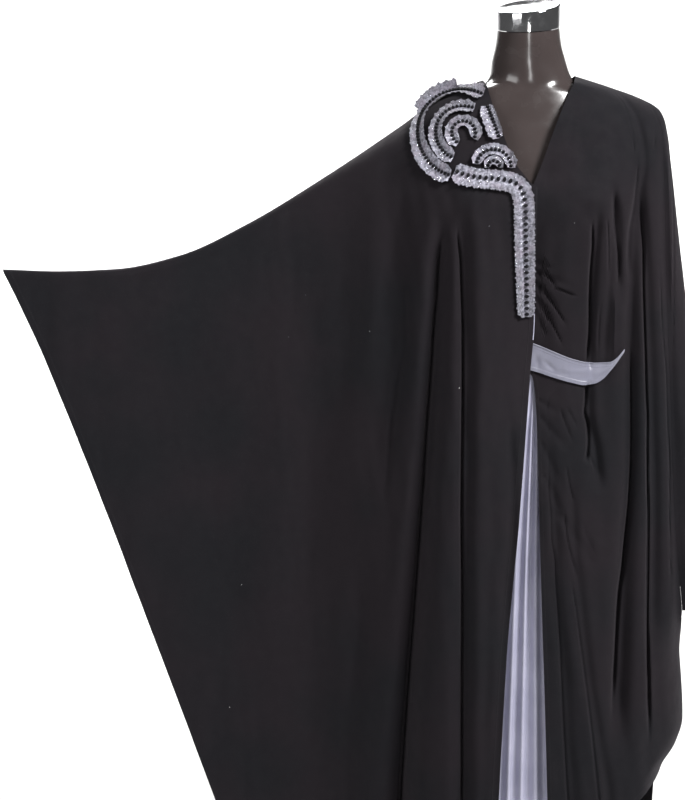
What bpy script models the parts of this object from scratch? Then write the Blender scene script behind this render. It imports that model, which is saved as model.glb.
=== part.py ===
"""A farasha kaftan on a limbless dress form, with one wing held out to the side.

Metres, +Z up. The origin is on the floor under the stand's pole. The garment
faces -Y, and its right wing (the wearer's right) reaches out along -X.

The cloth panels are walls over one front view. A panel's point is given by its
x and z, and a depth table says how far it lies in front of (or behind) the
middle plane, which runs through the shoulder seams. Folds are troughs taken
out of that depth.
"""

import math
from collections import namedtuple

import bmesh
import bpy
import numpy as np
from mathutils import Vector
from mathutils.bvhtree import BVHTree

# Walls and gaps
CLOTH = 0.0018
RIBBON = 0.0012
SATIN = 0.0015
SEAM = 0.0003
EASE = 0.0055
REST_GAP = 0.0008

# Dress form and stand
FORM_SIDES = 24
NECK_TOP = 1.477
NECK_TOP_SLANT = math.tan(math.radians(11.5))
NECK_SIDE_SLANT = math.tan(math.radians(2.7))
CAP_TOP = 1.5115
CAP_TOP_SLANT = math.tan(math.radians(15))
CAP_SIDE_SLANT = math.tan(math.radians(6.4))
CAP_OVER = 0.0008
CAP_ROUND = 0.0025
POLE_RADIUS = 0.014
FLANGE_RADIUS = 0.034
FLANGE_HEIGHT = 0.012
BASE_RADIUS = 0.17
BASE_RIM = 0.006
BASE_DOME = 0.012
HUB_RADIUS = 0.028
HUB_HEIGHT = 0.03
FORM_BOTTOM = 0.70

Ring = namedtuple("Ring", "height half_width front back lean aside")
FORM_RINGS = [
    Ring(FORM_BOTTOM, 0.140, 0.078, 0.090, 0.0, 0.0),
    Ring(0.712, 0.156, 0.090, 0.104, 0.0, 0.0),
    Ring(0.760, 0.169, 0.099, 0.115, 0.0, 0.0),
    Ring(0.820, 0.168, 0.100, 0.120, 0.0, 0.0),
    Ring(0.880, 0.152, 0.096, 0.112, 0.0, 0.0),
    Ring(0.940, 0.134, 0.090, 0.098, 0.0, 0.0),
    Ring(1.000, 0.127, 0.088, 0.090, 0.0, 0.0),
    Ring(1.060, 0.134, 0.092, 0.090, 0.0, 0.0),
    Ring(1.130, 0.152, 0.108, 0.092, 0.0, 0.0),
    Ring(1.180, 0.165, 0.127, 0.095, 0.0, 0.0),
    Ring(1.215, 0.172, 0.128, 0.098, 0.0, 0.0),
    Ring(1.260, 0.182, 0.107, 0.101, 0.0, 0.0),
    Ring(1.300, 0.187, 0.092, 0.097, 0.0, 0.0),
    Ring(1.325, 0.184, 0.084, 0.091, 0.0, 0.0),
    Ring(1.343, 0.170, 0.077, 0.086, 0.0, 0.0),
    Ring(1.360, 0.149, 0.071, 0.080, 0.0, 0.0),
    Ring(1.3715, 0.135, 0.067, 0.076, 0.0, 0.0),
    Ring(1.3795, 0.122, 0.065, 0.072, 0.0, 0.0),
    Ring(1.3855, 0.097, 0.063, 0.068, 0.0, 0.0),
    Ring(1.3905, 0.075, 0.0615, 0.0645, -0.001, 0.0),
    Ring(1.405, 0.0632, 0.058, 0.060, -0.004, -0.0008),
    Ring(1.425, 0.0585, 0.0535, 0.056, -0.008, -0.0035),
    Ring(1.450, 0.0520, 0.051, 0.053, -0.012, -0.0048),
    Ring(NECK_TOP, 0.0485, 0.049, 0.050, -0.015, -0.0055),
]

# The line that the shoulder seams and the wings' top edges follow, in front view
TopPoint = namedtuple("TopPoint", "x height")
TOP_LINE = [
    TopPoint(-1.000, 1.106),
    TopPoint(-0.828, 1.104),
    TopPoint(-0.740, 1.101),
    TopPoint(-0.650, 1.104),
    TopPoint(-0.550, 1.125),
    TopPoint(-0.450, 1.171),
    TopPoint(-0.320, 1.249),
    TopPoint(-0.200, 1.329),
    TopPoint(-0.125, 1.3820),
    TopPoint(-0.075, 1.3980),
    TopPoint(0.000, 1.424),
    TopPoint(0.069, 1.4045),
    TopPoint(0.126, 1.3865),
    TopPoint(0.176, 1.368),
    TopPoint(0.200, 1.354),
    TopPoint(0.208, 1.343),
    TopPoint(0.215, 1.318),
    TopPoint(0.222, 1.268),
    TopPoint(0.238, 1.142),
    TopPoint(0.252, 1.040),
    TopPoint(0.283, 0.812),
    TopPoint(0.314, 0.583),
    TopPoint(0.345, 0.350),
]

# How near the top line the cloth rounds over from front to back
Rounding = namedtuple("Rounding", "x radius")
ROUNDING = [
    Rounding(-0.90, 0.008),
    Rounding(-0.65, 0.012),
    Rounding(-0.45, 0.018),
    Rounding(-0.32, 0.030),
    Rounding(-0.23, 0.050),
    Rounding(-0.15, 0.075),
    Rounding(0.00, 0.090),
    Rounding(0.15, 0.070),
    Rounding(0.20, 0.050),
    Rounding(0.32, 0.040),
]

# The held wing swings a little forward towards its tip
TIP_FORWARD = 0.045
TIP_X = -0.828
WING_ROOT_X = -0.22

# Neckline
NECK_RIGHT = TopPoint(-0.075, 1.398)
NECK_LEFT = TopPoint(0.069, 1.4045)
V_BOTTOM = TopPoint(-0.007, 1.2355)
BACK_NECK_DROP = 0.030
V_RIGHT = [
    NECK_RIGHT,
    TopPoint(-0.062, 1.345),
    TopPoint(-0.049, 1.305),
    TopPoint(-0.036, 1.272),
    TopPoint(-0.022, 1.252),
    V_BOTTOM,
    TopPoint(0.020, 1.222),
]
V_LEFT = [
    TopPoint(-0.014, 1.222),
    V_BOTTOM,
    TopPoint(0.0047, 1.261),
    TopPoint(0.0285, 1.323),
    TopPoint(0.047, 1.365),
    NECK_LEFT,
]

# Lines of the right front, x by height
RightLine = namedtuple("RightLine", "height centre fold_b fold_a fold_c wing_in wing_out edge")
RIGHT_LINES = [
    RightLine(0.020, -0.062, -0.108, -0.210, -0.290, -0.345, -0.400, -0.427),
    RightLine(0.133, -0.059, -0.108, -0.206, -0.290, -0.350, -0.415, -0.464),
    RightLine(0.292, -0.054, -0.108, -0.201, -0.285, -0.360, -0.445, -0.518),
    RightLine(0.504, -0.043, -0.107, -0.188, -0.270, -0.370, -0.485, -0.593),
    RightLine(0.738, -0.023, -0.106, -0.169, -0.242, -0.378, -0.525, -0.676),
    RightLine(0.942, -0.007, -0.105, -0.156, -0.218, -0.385, -0.565, -0.753),
    RightLine(1.030, -0.001, -0.108, -0.149, -0.213, -0.390, -0.590, -0.790),
    RightLine(1.160, -0.002, -0.116, -0.141, -0.203, -0.400, -0.630, -0.852),
    RightLine(1.266, -0.001, -0.112, -0.137, -0.188, -0.410, -0.660, -0.902),
    RightLine(1.420, 0.004, -0.080, -0.115, -0.160, -0.430, -0.700, -0.975),
]
RIGHT_V_SHARES = [0.0, 0.16, 0.32, 0.47, 0.60, 0.70, 0.785, 0.84, 0.868, 0.878]
RIGHT_SPLITS = [
    ("centre", RIGHT_V_SHARES),
    ("fold_b", 4),
    ("fold_a", 5),
    ("fold_c", 4),
    ("wing_in", 4),
    ("wing_out", 4),
]

# Lines of the left front, x by height
LeftLine = namedtuple("LeftLine", "height centre side valley fold_e seam")
LEFT_LINES = [
    LeftLine(0.020, 0.0300, 0.100, 0.135, 0.185, 0.2585),
    LeftLine(0.286, 0.0223, 0.095, 0.136, 0.188, 0.2585),
    LeftLine(0.378, 0.0195, 0.095, 0.137, 0.190, 0.2585),
    LeftLine(0.483, 0.0163, 0.095, 0.138, 0.192, 0.2515),
    LeftLine(0.574, 0.0130, 0.095, 0.141, 0.192, 0.2425),
    LeftLine(0.713, 0.0090, 0.098, 0.146, 0.191, 0.228),
    LeftLine(0.850, 0.0058, 0.100, 0.150, 0.186, 0.220),
    LeftLine(0.935, 0.0000, 0.100, 0.152, 0.182, 0.216),
    LeftLine(0.965, -0.014, 0.100, 0.152, 0.180, 0.214),
    LeftLine(1.060, -0.014, 0.100, 0.152, 0.176, 0.209),
    LeftLine(1.151, -0.014, 0.104, 0.152, 0.172, 0.205),
    LeftLine(1.212, -0.014, 0.106, 0.158, 0.172, 0.203),
    LeftLine(1.266, -0.010, 0.104, 0.167, 0.181, 0.201),
    LeftLine(1.328, 0.010, 0.098, 0.160, 0.176, 0.195),
    LeftLine(1.354, 0.020, 0.095, 0.150, 0.166, 0.186),
    LeftLine(1.385, 0.030, 0.092, 0.128, 0.146, 0.160),
    LeftLine(1.420, 0.040, 0.088, 0.110, 0.120, 0.130),
]
LEFT_SPLITS = [("centre", 14), ("side", 5), ("valley", 3), ("fold_e", 4)]

# Lines of the back, x by height, from the right wing's edge to the left wing's seam
BackLine = namedtuple("BackLine", "height edge wing_out wing_in side_r blade_r blade_l side_l seam")
BACK_LINES = [
    BackLine(0.020, -0.427, -0.400, -0.345, -0.250, -0.100, 0.080, 0.155, 0.216),
    BackLine(0.133, -0.464, -0.415, -0.350, -0.245, -0.100, 0.080, 0.155, 0.212),
    BackLine(0.270, -0.510, -0.442, -0.359, -0.241, -0.098, 0.080, 0.158, 0.216),
    BackLine(0.310, -0.524, -0.448, -0.361, -0.239, -0.098, 0.080, 0.160, 0.226),
    BackLine(0.345, -0.537, -0.452, -0.362, -0.238, -0.097, 0.080, 0.162, 0.2490),
    BackLine(0.378, -0.548, -0.460, -0.364, -0.237, -0.097, 0.080, 0.162, 0.2585),
    BackLine(0.483, -0.586, -0.480, -0.369, -0.233, -0.096, 0.080, 0.162, 0.2515),
    BackLine(0.574, -0.618, -0.497, -0.373, -0.229, -0.095, 0.080, 0.160, 0.2425),
    BackLine(0.738, -0.676, -0.525, -0.378, -0.222, -0.092, 0.080, 0.160, 0.2265),
    BackLine(0.942, -0.753, -0.565, -0.385, -0.210, -0.090, 0.080, 0.155, 0.2155),
    BackLine(1.151, -0.848, -0.626, -0.400, -0.195, -0.090, 0.080, 0.150, 0.205),
    BackLine(1.266, -0.902, -0.660, -0.410, -0.185, -0.085, 0.080, 0.145, 0.201),
    BackLine(1.328, -0.931, -0.676, -0.416, -0.175, -0.083, 0.080, 0.140, 0.195),
    BackLine(1.354, -0.943, -0.683, -0.418, -0.172, -0.082, 0.080, 0.135, 0.186),
    BackLine(1.385, -0.958, -0.691, -0.425, -0.165, -0.081, 0.080, 0.120, 0.160),
    BackLine(1.420, -0.975, -0.700, -0.430, -0.160, -0.080, 0.080, 0.105, 0.130),
]
BACK_NECK_SHARES = [
    0.0, 0.036, 0.050, 0.082, 0.136, 0.216, 0.341, 0.484, 0.627, 0.753, 0.833, 0.887, 0.919, 0.934,
]
BACK_SPLITS = [
    ("edge", 3),
    ("wing_out", 4),
    ("wing_in", 5),
    ("side_r", 5),
    ("blade_r", BACK_NECK_SHARES),
    ("blade_l", 4),
    ("side_l", 4),
]

# Below the hanging wing's cuff the left front and the back close towards a side seam
SIDE_TOP = 0.570
SIDE_FADE = 0.090
SIDE_RADIUS = 0.050

# Hems, height by x
Hem = namedtuple("Hem", "x height")
RIGHT_HEM = [
    Hem(-0.470, 0.160),
    Hem(-0.458, 0.115),
    Hem(-0.440, 0.088),
    Hem(-0.400, 0.065),
    Hem(-0.300, 0.045),
    Hem(-0.150, 0.036),
    Hem(0.000, 0.034),
]
LEFT_HEM = [
    Hem(0.020, 0.034),
    Hem(0.060, 0.085),
    Hem(0.100, 0.175),
    Hem(0.140, 0.248),
    Hem(0.175, 0.283),
    Hem(0.209, 0.300),
    Hem(0.232, 0.316),
    Hem(0.249, 0.338),
    Hem(0.2585, 0.370),
]
BACK_HEM = [
    Hem(-0.470, 0.160),
    Hem(-0.458, 0.118),
    Hem(-0.440, 0.092),
    Hem(-0.400, 0.068),
    Hem(-0.300, 0.045),
    Hem(-0.150, 0.032),
    Hem(0.000, 0.030),
    Hem(0.216, 0.034),
]

# The wing that hangs at the left: where its top edge leaves the shoulder, its tip, and its open cuff
WING_EDGE_FROM = 0.205
WING_TOP = TopPoint(0.202, 1.3515)
WING_TIP = TopPoint(0.314, 0.583)
CUFF_INNER = 0.565
WING_COLUMNS = 5

# Depths in front of the middle plane; each column is at the x of the same place in *_AT
RIGHT_AT = [0.00, -0.05, -0.10, -0.16, -0.23, -0.32, -0.45, -0.65, -0.90]
RightDepth = namedtuple("RightDepth", "height centre inner bust side root wing_a wing_b wing_c tip")
RIGHT_DEPTHS = [
    RightDepth(0.030, 0.205, 0.203, 0.197, 0.166, 0.112, 0.060, 0.026, 0.013, 0.007),
    RightDepth(0.350, 0.182, 0.184, 0.182, 0.156, 0.105, 0.056, 0.024, 0.013, 0.007),
    RightDepth(0.500, 0.170, 0.175, 0.176, 0.151, 0.101, 0.054, 0.023, 0.013, 0.007),
    RightDepth(0.650, 0.156, 0.166, 0.171, 0.147, 0.098, 0.052, 0.023, 0.012, 0.007),
    RightDepth(0.780, 0.140, 0.157, 0.166, 0.143, 0.095, 0.050, 0.022, 0.012, 0.007),
    RightDepth(0.880, 0.124, 0.150, 0.163, 0.139, 0.092, 0.048, 0.022, 0.012, 0.007),
    RightDepth(0.960, 0.115, 0.146, 0.160, 0.135, 0.089, 0.046, 0.022, 0.012, 0.007),
    RightDepth(1.050, 0.123, 0.147, 0.157, 0.130, 0.085, 0.043, 0.021, 0.012, 0.007),
    RightDepth(1.150, 0.1375, 0.149, 0.152, 0.124, 0.079, 0.040, 0.020, 0.012, 0.007),
    RightDepth(1.210, 0.1435, 0.149, 0.147, 0.117, 0.073, 0.037, 0.019, 0.012, 0.007),
    RightDepth(1.260, 0.131, 0.134, 0.128, 0.103, 0.064, 0.033, 0.018, 0.011, 0.007),
    RightDepth(1.330, 0.109, 0.108, 0.104, 0.090, 0.056, 0.030, 0.018, 0.011, 0.007),
    RightDepth(1.400, 0.088, 0.088, 0.088, 0.080, 0.052, 0.029, 0.018, 0.011, 0.007),
]
LEFT_AT = [0.00, 0.05, 0.10, 0.165, 0.215, 0.30]
LeftDepth = namedtuple("LeftDepth", "height centre inner bust ridge seam sleeve")
LEFT_DEPTHS = [
    LeftDepth(0.030, 0.184, 0.186, 0.180, 0.152, 0.112, 0.055),
    LeftDepth(0.350, 0.167, 0.172, 0.167, 0.142, 0.106, 0.055),
    LeftDepth(0.500, 0.154, 0.161, 0.156, 0.133, 0.100, 0.055),
    LeftDepth(0.650, 0.140, 0.148, 0.143, 0.124, 0.096, 0.056),
    LeftDepth(0.780, 0.125, 0.132, 0.128, 0.116, 0.092, 0.058),
    LeftDepth(0.880, 0.113, 0.117, 0.111, 0.110, 0.089, 0.060),
    LeftDepth(0.960, 0.1065, 0.108, 0.100, 0.106, 0.086, 0.060),
    LeftDepth(1.050, 0.115, 0.118, 0.109, 0.104, 0.083, 0.060),
    LeftDepth(1.150, 0.130, 0.136, 0.130, 0.103, 0.080, 0.060),
    LeftDepth(1.210, 0.136, 0.143, 0.138, 0.101, 0.077, 0.060),
    LeftDepth(1.260, 0.122, 0.128, 0.123, 0.095, 0.073, 0.058),
    LeftDepth(1.330, 0.102, 0.102, 0.100, 0.084, 0.068, 0.056),
    LeftDepth(1.400, 0.086, 0.086, 0.086, 0.075, 0.064, 0.054),
]
BACK_AT = [-0.90, -0.65, -0.45, -0.32, -0.23, -0.15, -0.07, 0.00, 0.07, 0.15, 0.215, 0.30]
BackDepth = namedtuple(
    "BackDepth",
    "height tip wing_c wing_b wing_a root side_r blade_r centre blade_l side_l seam sleeve",
)
BACK_DEPTHS = [
    BackDepth(0.030, 0.007, 0.012, 0.024, 0.060, 0.118, 0.165, 0.190, 0.198, 0.192, 0.168, 0.132, 0.070),
    BackDepth(0.300, 0.007, 0.012, 0.024, 0.056, 0.110, 0.155, 0.177, 0.183, 0.178, 0.156, 0.122, 0.070),
    BackDepth(0.600, 0.007, 0.012, 0.023, 0.051, 0.101, 0.144, 0.162, 0.165, 0.162, 0.142, 0.108, 0.068),
    BackDepth(0.800, 0.007, 0.012, 0.022, 0.047, 0.093, 0.136, 0.151, 0.152, 0.151, 0.134, 0.100, 0.066),
    BackDepth(0.950, 0.007, 0.012, 0.022, 0.042, 0.084, 0.125, 0.138, 0.137, 0.138, 0.124, 0.094, 0.064),
    BackDepth(1.150, 0.007, 0.012, 0.020, 0.036, 0.072, 0.113, 0.124, 0.121, 0.124, 0.113, 0.087, 0.062),
    BackDepth(1.270, 0.007, 0.011, 0.018, 0.031, 0.062, 0.104, 0.115, 0.112, 0.115, 0.104, 0.080, 0.060),
    BackDepth(1.330, 0.007, 0.011, 0.018, 0.029, 0.055, 0.096, 0.107, 0.106, 0.107, 0.096, 0.074, 0.058),
    BackDepth(1.400, 0.007, 0.011, 0.018, 0.028, 0.050, 0.080, 0.090, 0.092, 0.090, 0.078, 0.066, 0.056),
]

# Folds: troughs along a line, between the heights where they begin and end
Fold = namedtuple("Fold", "line top bottom fade wide_top wide_bottom deep_top deep_bottom")
RIGHT_FOLDS = [
    Fold([(0.02, -0.210), (0.28, -0.201), (0.60, -0.179), (0.91, -0.158), (1.25, -0.139)],
         1.215, -0.30, 0.11, 0.013, 0.024, 0.022, 0.040),
    Fold([(0.02, -0.108), (0.28, -0.108), (0.60, -0.107), (0.91, -0.105), (1.03, -0.108), (1.25, -0.117)],
         1.225, -0.30, 0.10, 0.011, 0.015, 0.014, 0.022),
    Fold([(0.50, -0.262), (0.88, -0.225), (0.98, -0.214), (1.10, -0.210), (1.30, -0.190)],
         1.290, 0.72, 0.16, 0.020, 0.030, 0.011, 0.011),
    Fold([(0.30, -0.052), (0.58, -0.040), (0.73, -0.033), (0.90, -0.040)],
         0.930, 0.45, 0.12, 0.008, 0.010, 0.009, 0.007),
    Fold([(0.02, -0.330), (0.60, -0.345), (1.00, -0.330), (1.25, -0.270)],
         1.200, -0.30, 0.20, 0.040, 0.050, 0.005, 0.011),
    Fold([(0.02, -0.385), (0.60, -0.485), (1.15, -0.560)],
         1.080, -0.30, 0.25, 0.050, 0.045, 0.003, 0.005),
]
LEFT_FOLDS = [
    Fold([(0.30, 0.136), (0.42, 0.137), (0.65, 0.143), (0.78, 0.150),
          (1.15, 0.152), (1.21, 0.158), (1.27, 0.167)],
         1.290, 0.33, 0.12, 0.012, 0.016, 0.018, 0.026),
    Fold([(1.21, 0.158), (1.266, 0.168), (1.328, 0.160), (1.354, 0.150), (1.385, 0.128)],
         1.450, 1.20, 0.05, 0.006, 0.006, 0.004, 0.004),
    Fold([(0.42, 0.190), (0.55, 0.192), (0.71, 0.192), (0.90, 0.185), (1.06, 0.176), (1.21, 0.164)],
         1.250, 0.48, 0.10, 0.009, 0.012, 0.010, 0.015),
    Fold([(0.42, 0.246), (0.58, 0.238), (0.77, 0.224), (1.01, 0.213), (1.13, 0.205), (1.32, 0.198)],
         1.345, 0.46, 0.10, 0.010, 0.013, 0.009, 0.015),
    Fold([(0.98, 0.087), (1.09, 0.088), (1.18, 0.092)],
         1.215, 0.93, 0.06, 0.007, 0.007, 0.009, 0.009),
    Fold([(1.08, 0.130), (1.15, 0.127), (1.22, 0.118)],
         1.250, 1.04, 0.05, 0.008, 0.008, 0.010, 0.011),
    Fold([(0.98, 0.110), (1.12, 0.116), (1.20, 0.114)],
         1.215, 0.95, 0.05, 0.006, 0.006, 0.006, 0.005),
    Fold([(0.78, 0.101), (0.83, 0.096), (0.89, 0.086), (0.93, 0.088)],
         0.945, 0.76, 0.04, 0.007, 0.009, 0.010, 0.012),
    Fold([(0.02, 0.072), (0.28, 0.061), (0.44, 0.051), (0.60, 0.038), (0.73, 0.032), (0.84, 0.025)],
         0.880, -0.10, 0.10, 0.007, 0.011, 0.004, 0.008),
    Fold([(0.02, 0.130), (0.28, 0.120), (0.35, 0.110), (0.475, 0.088), (0.66, 0.066), (0.79, 0.057)],
         0.830, -0.10, 0.10, 0.007, 0.011, 0.004, 0.010),
]
BACK_FOLDS = [
    Fold([(0.02, -0.215), (0.60, -0.190), (1.10, -0.150)], 1.180, -0.30, 0.20, 0.016, 0.026, 0.016, 0.038),
    Fold([(0.02, -0.105), (0.60, -0.095), (1.10, -0.085)], 1.120, -0.30, 0.25, 0.014, 0.022, 0.010, 0.026),
    Fold([(0.02, 0.012), (0.60, 0.008), (1.00, 0.004)], 1.050, -0.30, 0.30, 0.014, 0.022, 0.006, 0.020),
    Fold([(0.02, 0.108), (0.60, 0.100), (1.10, 0.090)], 1.140, -0.30, 0.25, 0.014, 0.022, 0.010, 0.028),
    Fold([(0.02, 0.180), (0.60, 0.172), (1.10, 0.155)], 1.200, -0.30, 0.20, 0.012, 0.018, 0.014, 0.026),
    Fold([(0.02, -0.320), (0.60, -0.340), (1.10, -0.300)], 1.140, -0.30, 0.20, 0.035, 0.045, 0.006, 0.012),
]

# Gathers: short creases that fan out from the centre-front seam of the left front
Gather = namedtuple("Gather", "x0 z0 x1 z1 wide deep")
GATHERS = [
    Gather(-0.004, 1.120, 0.030, 1.108, 0.0045, 0.0026),
    Gather(-0.004, 1.104, 0.064, 1.078, 0.0050, 0.0042),
    Gather(-0.004, 1.088, 0.050, 1.034, 0.0050, 0.0044),
    Gather(-0.004, 1.070, 0.040, 1.002, 0.0048, 0.0036),
    Gather(-0.004, 1.052, 0.018, 0.998, 0.0045, 0.0030),
    Gather(0.008, 0.905, 0.052, 0.878, 0.0050, 0.0030),
    Gather(0.010, 0.880, 0.060, 0.822, 0.0055, 0.0040),
    Gather(0.012, 0.840, 0.048, 0.764, 0.0055, 0.0036),
    Gather(0.016, 0.790, 0.062, 0.690, 0.0060, 0.0036),
    Gather(0.040, 0.730, 0.104, 0.640, 0.0070, 0.0036),
]

# Satin inset behind the slit, pleated from under the belt to the hem
InsetRow = namedtuple("InsetRow", "height left right depth pleat")
INSET_ROWS = [
    InsetRow(0.034, -0.090, 0.056, 0.162, 0.0070),
    InsetRow(0.350, -0.080, 0.050, 0.147, 0.0060),
    InsetRow(0.500, -0.070, 0.044, 0.135, 0.0055),
    InsetRow(0.650, -0.059, 0.038, 0.1225, 0.0048),
    InsetRow(0.780, -0.042, 0.030, 0.113, 0.0036),
    InsetRow(0.880, -0.026, 0.022, 0.1055, 0.0020),
    InsetRow(0.925, -0.017, 0.019, 0.1025, 0.0008),
    InsetRow(0.955, -0.012, 0.018, 0.1043, 0.0),
]
INSET_PLEATS = 6
INSET_ROW_COUNT = 11

# Belt, laid on the left front and tapering to a tie that goes into the side fold
BeltRow = namedtuple("BeltRow", "x top bottom")
BELT_ROWS = [
    BeltRow(-0.005, 0.9940, 0.9520),
    BeltRow(0.006, 0.9900, 0.9490),
    BeltRow(0.030, 0.9800, 0.9410),
    BeltRow(0.055, 0.9700, 0.9340),
    BeltRow(0.080, 0.9635, 0.9290),
    BeltRow(0.095, 0.9620, 0.9310),
    BeltRow(0.108, 0.9625, 0.9385),
    BeltRow(0.118, 0.9635, 0.9500),
    BeltRow(0.126, 0.9680, 0.9600),
    BeltRow(0.134, 0.9760, 0.9715),
    BeltRow(0.140, 0.9830, 0.9795),
]
BELT_COLUMNS = 22
BELT_ACROSS = 3
BELT_WALL = 0.0022
BELT_CROWN = 0.00055
BELT_SETTLE = 0.004

# Ruffles of gathered ribbon, in front view: a centre line, and how far each side reaches
RUFFLE_PITCH = 0.0093
RUFFLE_LIFT = 0.0003
SETTLE = 0.0008
FRILL_SETTLE = 0.002
EDGE_INSIDE = 0.002
NORMAL_REACH = 0.009
FRILL_RISE = 0.0045
FRILL_WAVE = 0.0015
Arc = namedtuple("Arc", "name x z radius_x radius_z start end outer inner")
ROSETTE_ARCS = [
    Arc("ruffle_petal_outer", -0.110, 1.313, 0.067, 0.067, 62, 252, 0.015, 0.0135),
    Arc("ruffle_petal_middle", -0.110, 1.313, 0.0405, 0.0405, 66, 246, 0.012, 0.012),
    Arc("ruffle_petal_inner", -0.110, 1.313, 0.0175, 0.0175, -30, 240, 0.010, 0.009),
    Arc("ruffle_petal_right", -0.0665, 1.2625, 0.0255, 0.0255, -5, 172, 0.0095, 0.0085),
    Arc("ruffle_heart", -0.0665, 1.2625, 0.0085, 0.0085, -10, 190, 0.0075, 0.006),
]
Sweep = namedtuple("Sweep", "name points outer inner settle")
RUFFLE_SWEEPS = [
    Sweep("ruffle_neck", [(-0.0735, 1.3540), (-0.0685, 1.3390), (-0.0637, 1.3245), (-0.0575, 1.3055)],
          0.008, 0.015, SETTLE),
    Sweep("ruffle_placket", [(-0.1240, 1.2560), (-0.1050, 1.2490), (-0.0850, 1.2455), (-0.0650, 1.2440),
                             (-0.0480, 1.2420), (-0.0340, 1.2370), (-0.0235, 1.2240), (-0.0200, 1.2020),
                             (-0.0190, 1.1500), (-0.0175, 1.1000), (-0.0165, 1.0500), (-0.0160, 1.0360)],
          0.0135, 0.0180, 0.0020),
]

COLOURS = {
    "black_cloth": ((0.022, 0.020, 0.023, 1.0), 0.62, 0.0),
    "grey_satin": ((0.42, 0.41, 0.52, 1.0), 0.34, 0.0),
    "silver_ribbon": ((0.50, 0.48, 0.56, 1.0), 0.55, 0.1),
    "form_gloss": ((0.030, 0.026, 0.028, 1.0), 0.14, 0.0),
    "chrome": ((0.80, 0.80, 0.82, 1.0), 0.08, 1.0),
}


def curve(xs, ys):
    """A smooth curve through points in rising order, level outside them, with no overshoot."""
    xs, ys = np.array(xs, float), np.array(ys, float)
    step = np.diff(xs)
    slope = np.diff(ys) / step
    tangent = np.concatenate([slope[:1], np.zeros(len(xs) - 2), slope[-1:]])
    for i in range(1, len(xs) - 1):
        if slope[i - 1] * slope[i] > 0:
            near, far = 2 * step[i] + step[i - 1], step[i] + 2 * step[i - 1]
            tangent[i] = (near + far) / (near / slope[i - 1] + far / slope[i])

    def at(x):
        x = np.clip(np.asarray(x, float), xs[0], xs[-1])
        i = np.clip(np.searchsorted(xs, x, side="right") - 1, 0, len(xs) - 2)
        u = (x - xs[i]) / step[i]
        start = (1 + 2 * u) * (1 - u) ** 2 * ys[i] + u * (1 - u) ** 2 * step[i] * tangent[i]
        end = u * u * (3 - 2 * u) * ys[i + 1] + u * u * (u - 1) * step[i] * tangent[i + 1]
        return start + end

    return at


def table(rows, key):
    """One curve for each of a table's columns but its first, over that first column."""
    names = [name for name in rows[0]._fields if name != key]
    places = [getattr(row, key) for row in rows]
    return {name: curve(places, [getattr(row, name) for row in rows]) for name in names}


def smooth(t):
    t = np.clip(t, 0.0, 1.0)
    return t * t * (3 - 2 * t)


def across(places, values, x):
    """A smooth curve over fixed places whose values are arrays, such as a section at many heights."""
    order = np.argsort(places)
    places = [places[i] for i in order]
    values = [values[i] for i in order]
    x = np.clip(x, places[0], places[-1])
    last = len(places) - 1
    slopes = []
    for i in range(last + 1):
        before, after = max(i - 1, 0), min(i + 1, last)
        slopes.append((values[after] - values[before]) / (places[after] - places[before]))
    out = np.zeros_like(x)
    for i in range(last):
        step = places[i + 1] - places[i]
        u = (x - places[i]) / step
        inside = (u >= 0) & ((u < 1) | (i == last - 1))
        piece = (1 + 2 * u) * (1 - u) ** 2 * values[i] + u * (1 - u) ** 2 * step * slopes[i]
        piece = piece + u * u * (3 - 2 * u) * values[i + 1] + u * u * (u - 1) * step * slopes[i + 1]
        out = np.where(inside, piece, out)
    return out


side_seam = table(BACK_LINES, "height")["seam"]
top_line = curve([p.x for p in TOP_LINE], [p.height for p in TOP_LINE])
rounding = curve([p.x for p in ROUNDING], [p.radius for p in ROUNDING])
form_at = table(FORM_RINGS, "height")


def middle(x):
    """The middle plane's y at x: it swings forward along the held wing."""
    return -TIP_FORWARD * smooth((WING_ROOT_X - x) / (WING_ROOT_X - TIP_X)) ** 1.4


def off_top(x, z):
    """How far below and inside the top line a point lies."""
    slope = (top_line(x + 1e-4) - top_line(x - 1e-4)) / 2e-4
    return (top_line(x) - z) / np.sqrt(1 + slope**2)


def form_depth(x, z, side, over):
    """How far the dress form, grown by an amount, reaches from the middle plane; negative past its sides."""
    height = z - over
    reach = form_at[side](height) + (-1 if side == "front" else 1) * form_at["lean"](height) + over
    room = 1 - ((x - form_at["aside"](height)) / (form_at["half_width"](height) + over)) ** 2
    return np.where(room > 0, reach * np.sqrt(np.maximum(room, 0)), 2 * reach * room)


def trough(fold, x, z):
    """What a fold takes out of the depth at a point."""
    heights, places = zip(*fold.line)
    down = smooth((fold.top - z) / fold.fade)
    along = down * smooth((z - fold.bottom) / fold.fade)
    share = np.clip((fold.top - z) / (fold.top - max(fold.bottom, 0.0)), 0, 1)
    wide = fold.wide_top + (fold.wide_bottom - fold.wide_top) * share
    deep = fold.deep_top + (fold.deep_bottom - fold.deep_top) * share
    return deep * along * np.exp(-(((x - curve(heights, places)(z)) / wide) ** 2))


def crease(gather, x, z):
    """What a gather takes out of the depth: a short trough that fades at its far end."""
    dx, dz = gather.x1 - gather.x0, gather.z1 - gather.z0
    length = math.hypot(dx, dz)
    along = ((x - gather.x0) * dx + (z - gather.z0) * dz) / length
    off = ((x - gather.x0) * dz - (z - gather.z0) * dx) / length
    share = np.clip(along / length, 0, 1)
    fade = smooth(1 + along / 0.004) * smooth((length - along) / (0.5 * length))
    return gather.deep * fade * np.exp(-((off / (gather.wide * (0.8 + 0.5 * share))) ** 2))


def arch(off, radius):
    """A quarter round: nothing at an edge, and all of the depth from a radius off it."""
    share = np.clip(off / radius, 0, 1)
    return np.sqrt(np.maximum(1 - (1 - share) ** 2, 0))


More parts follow.
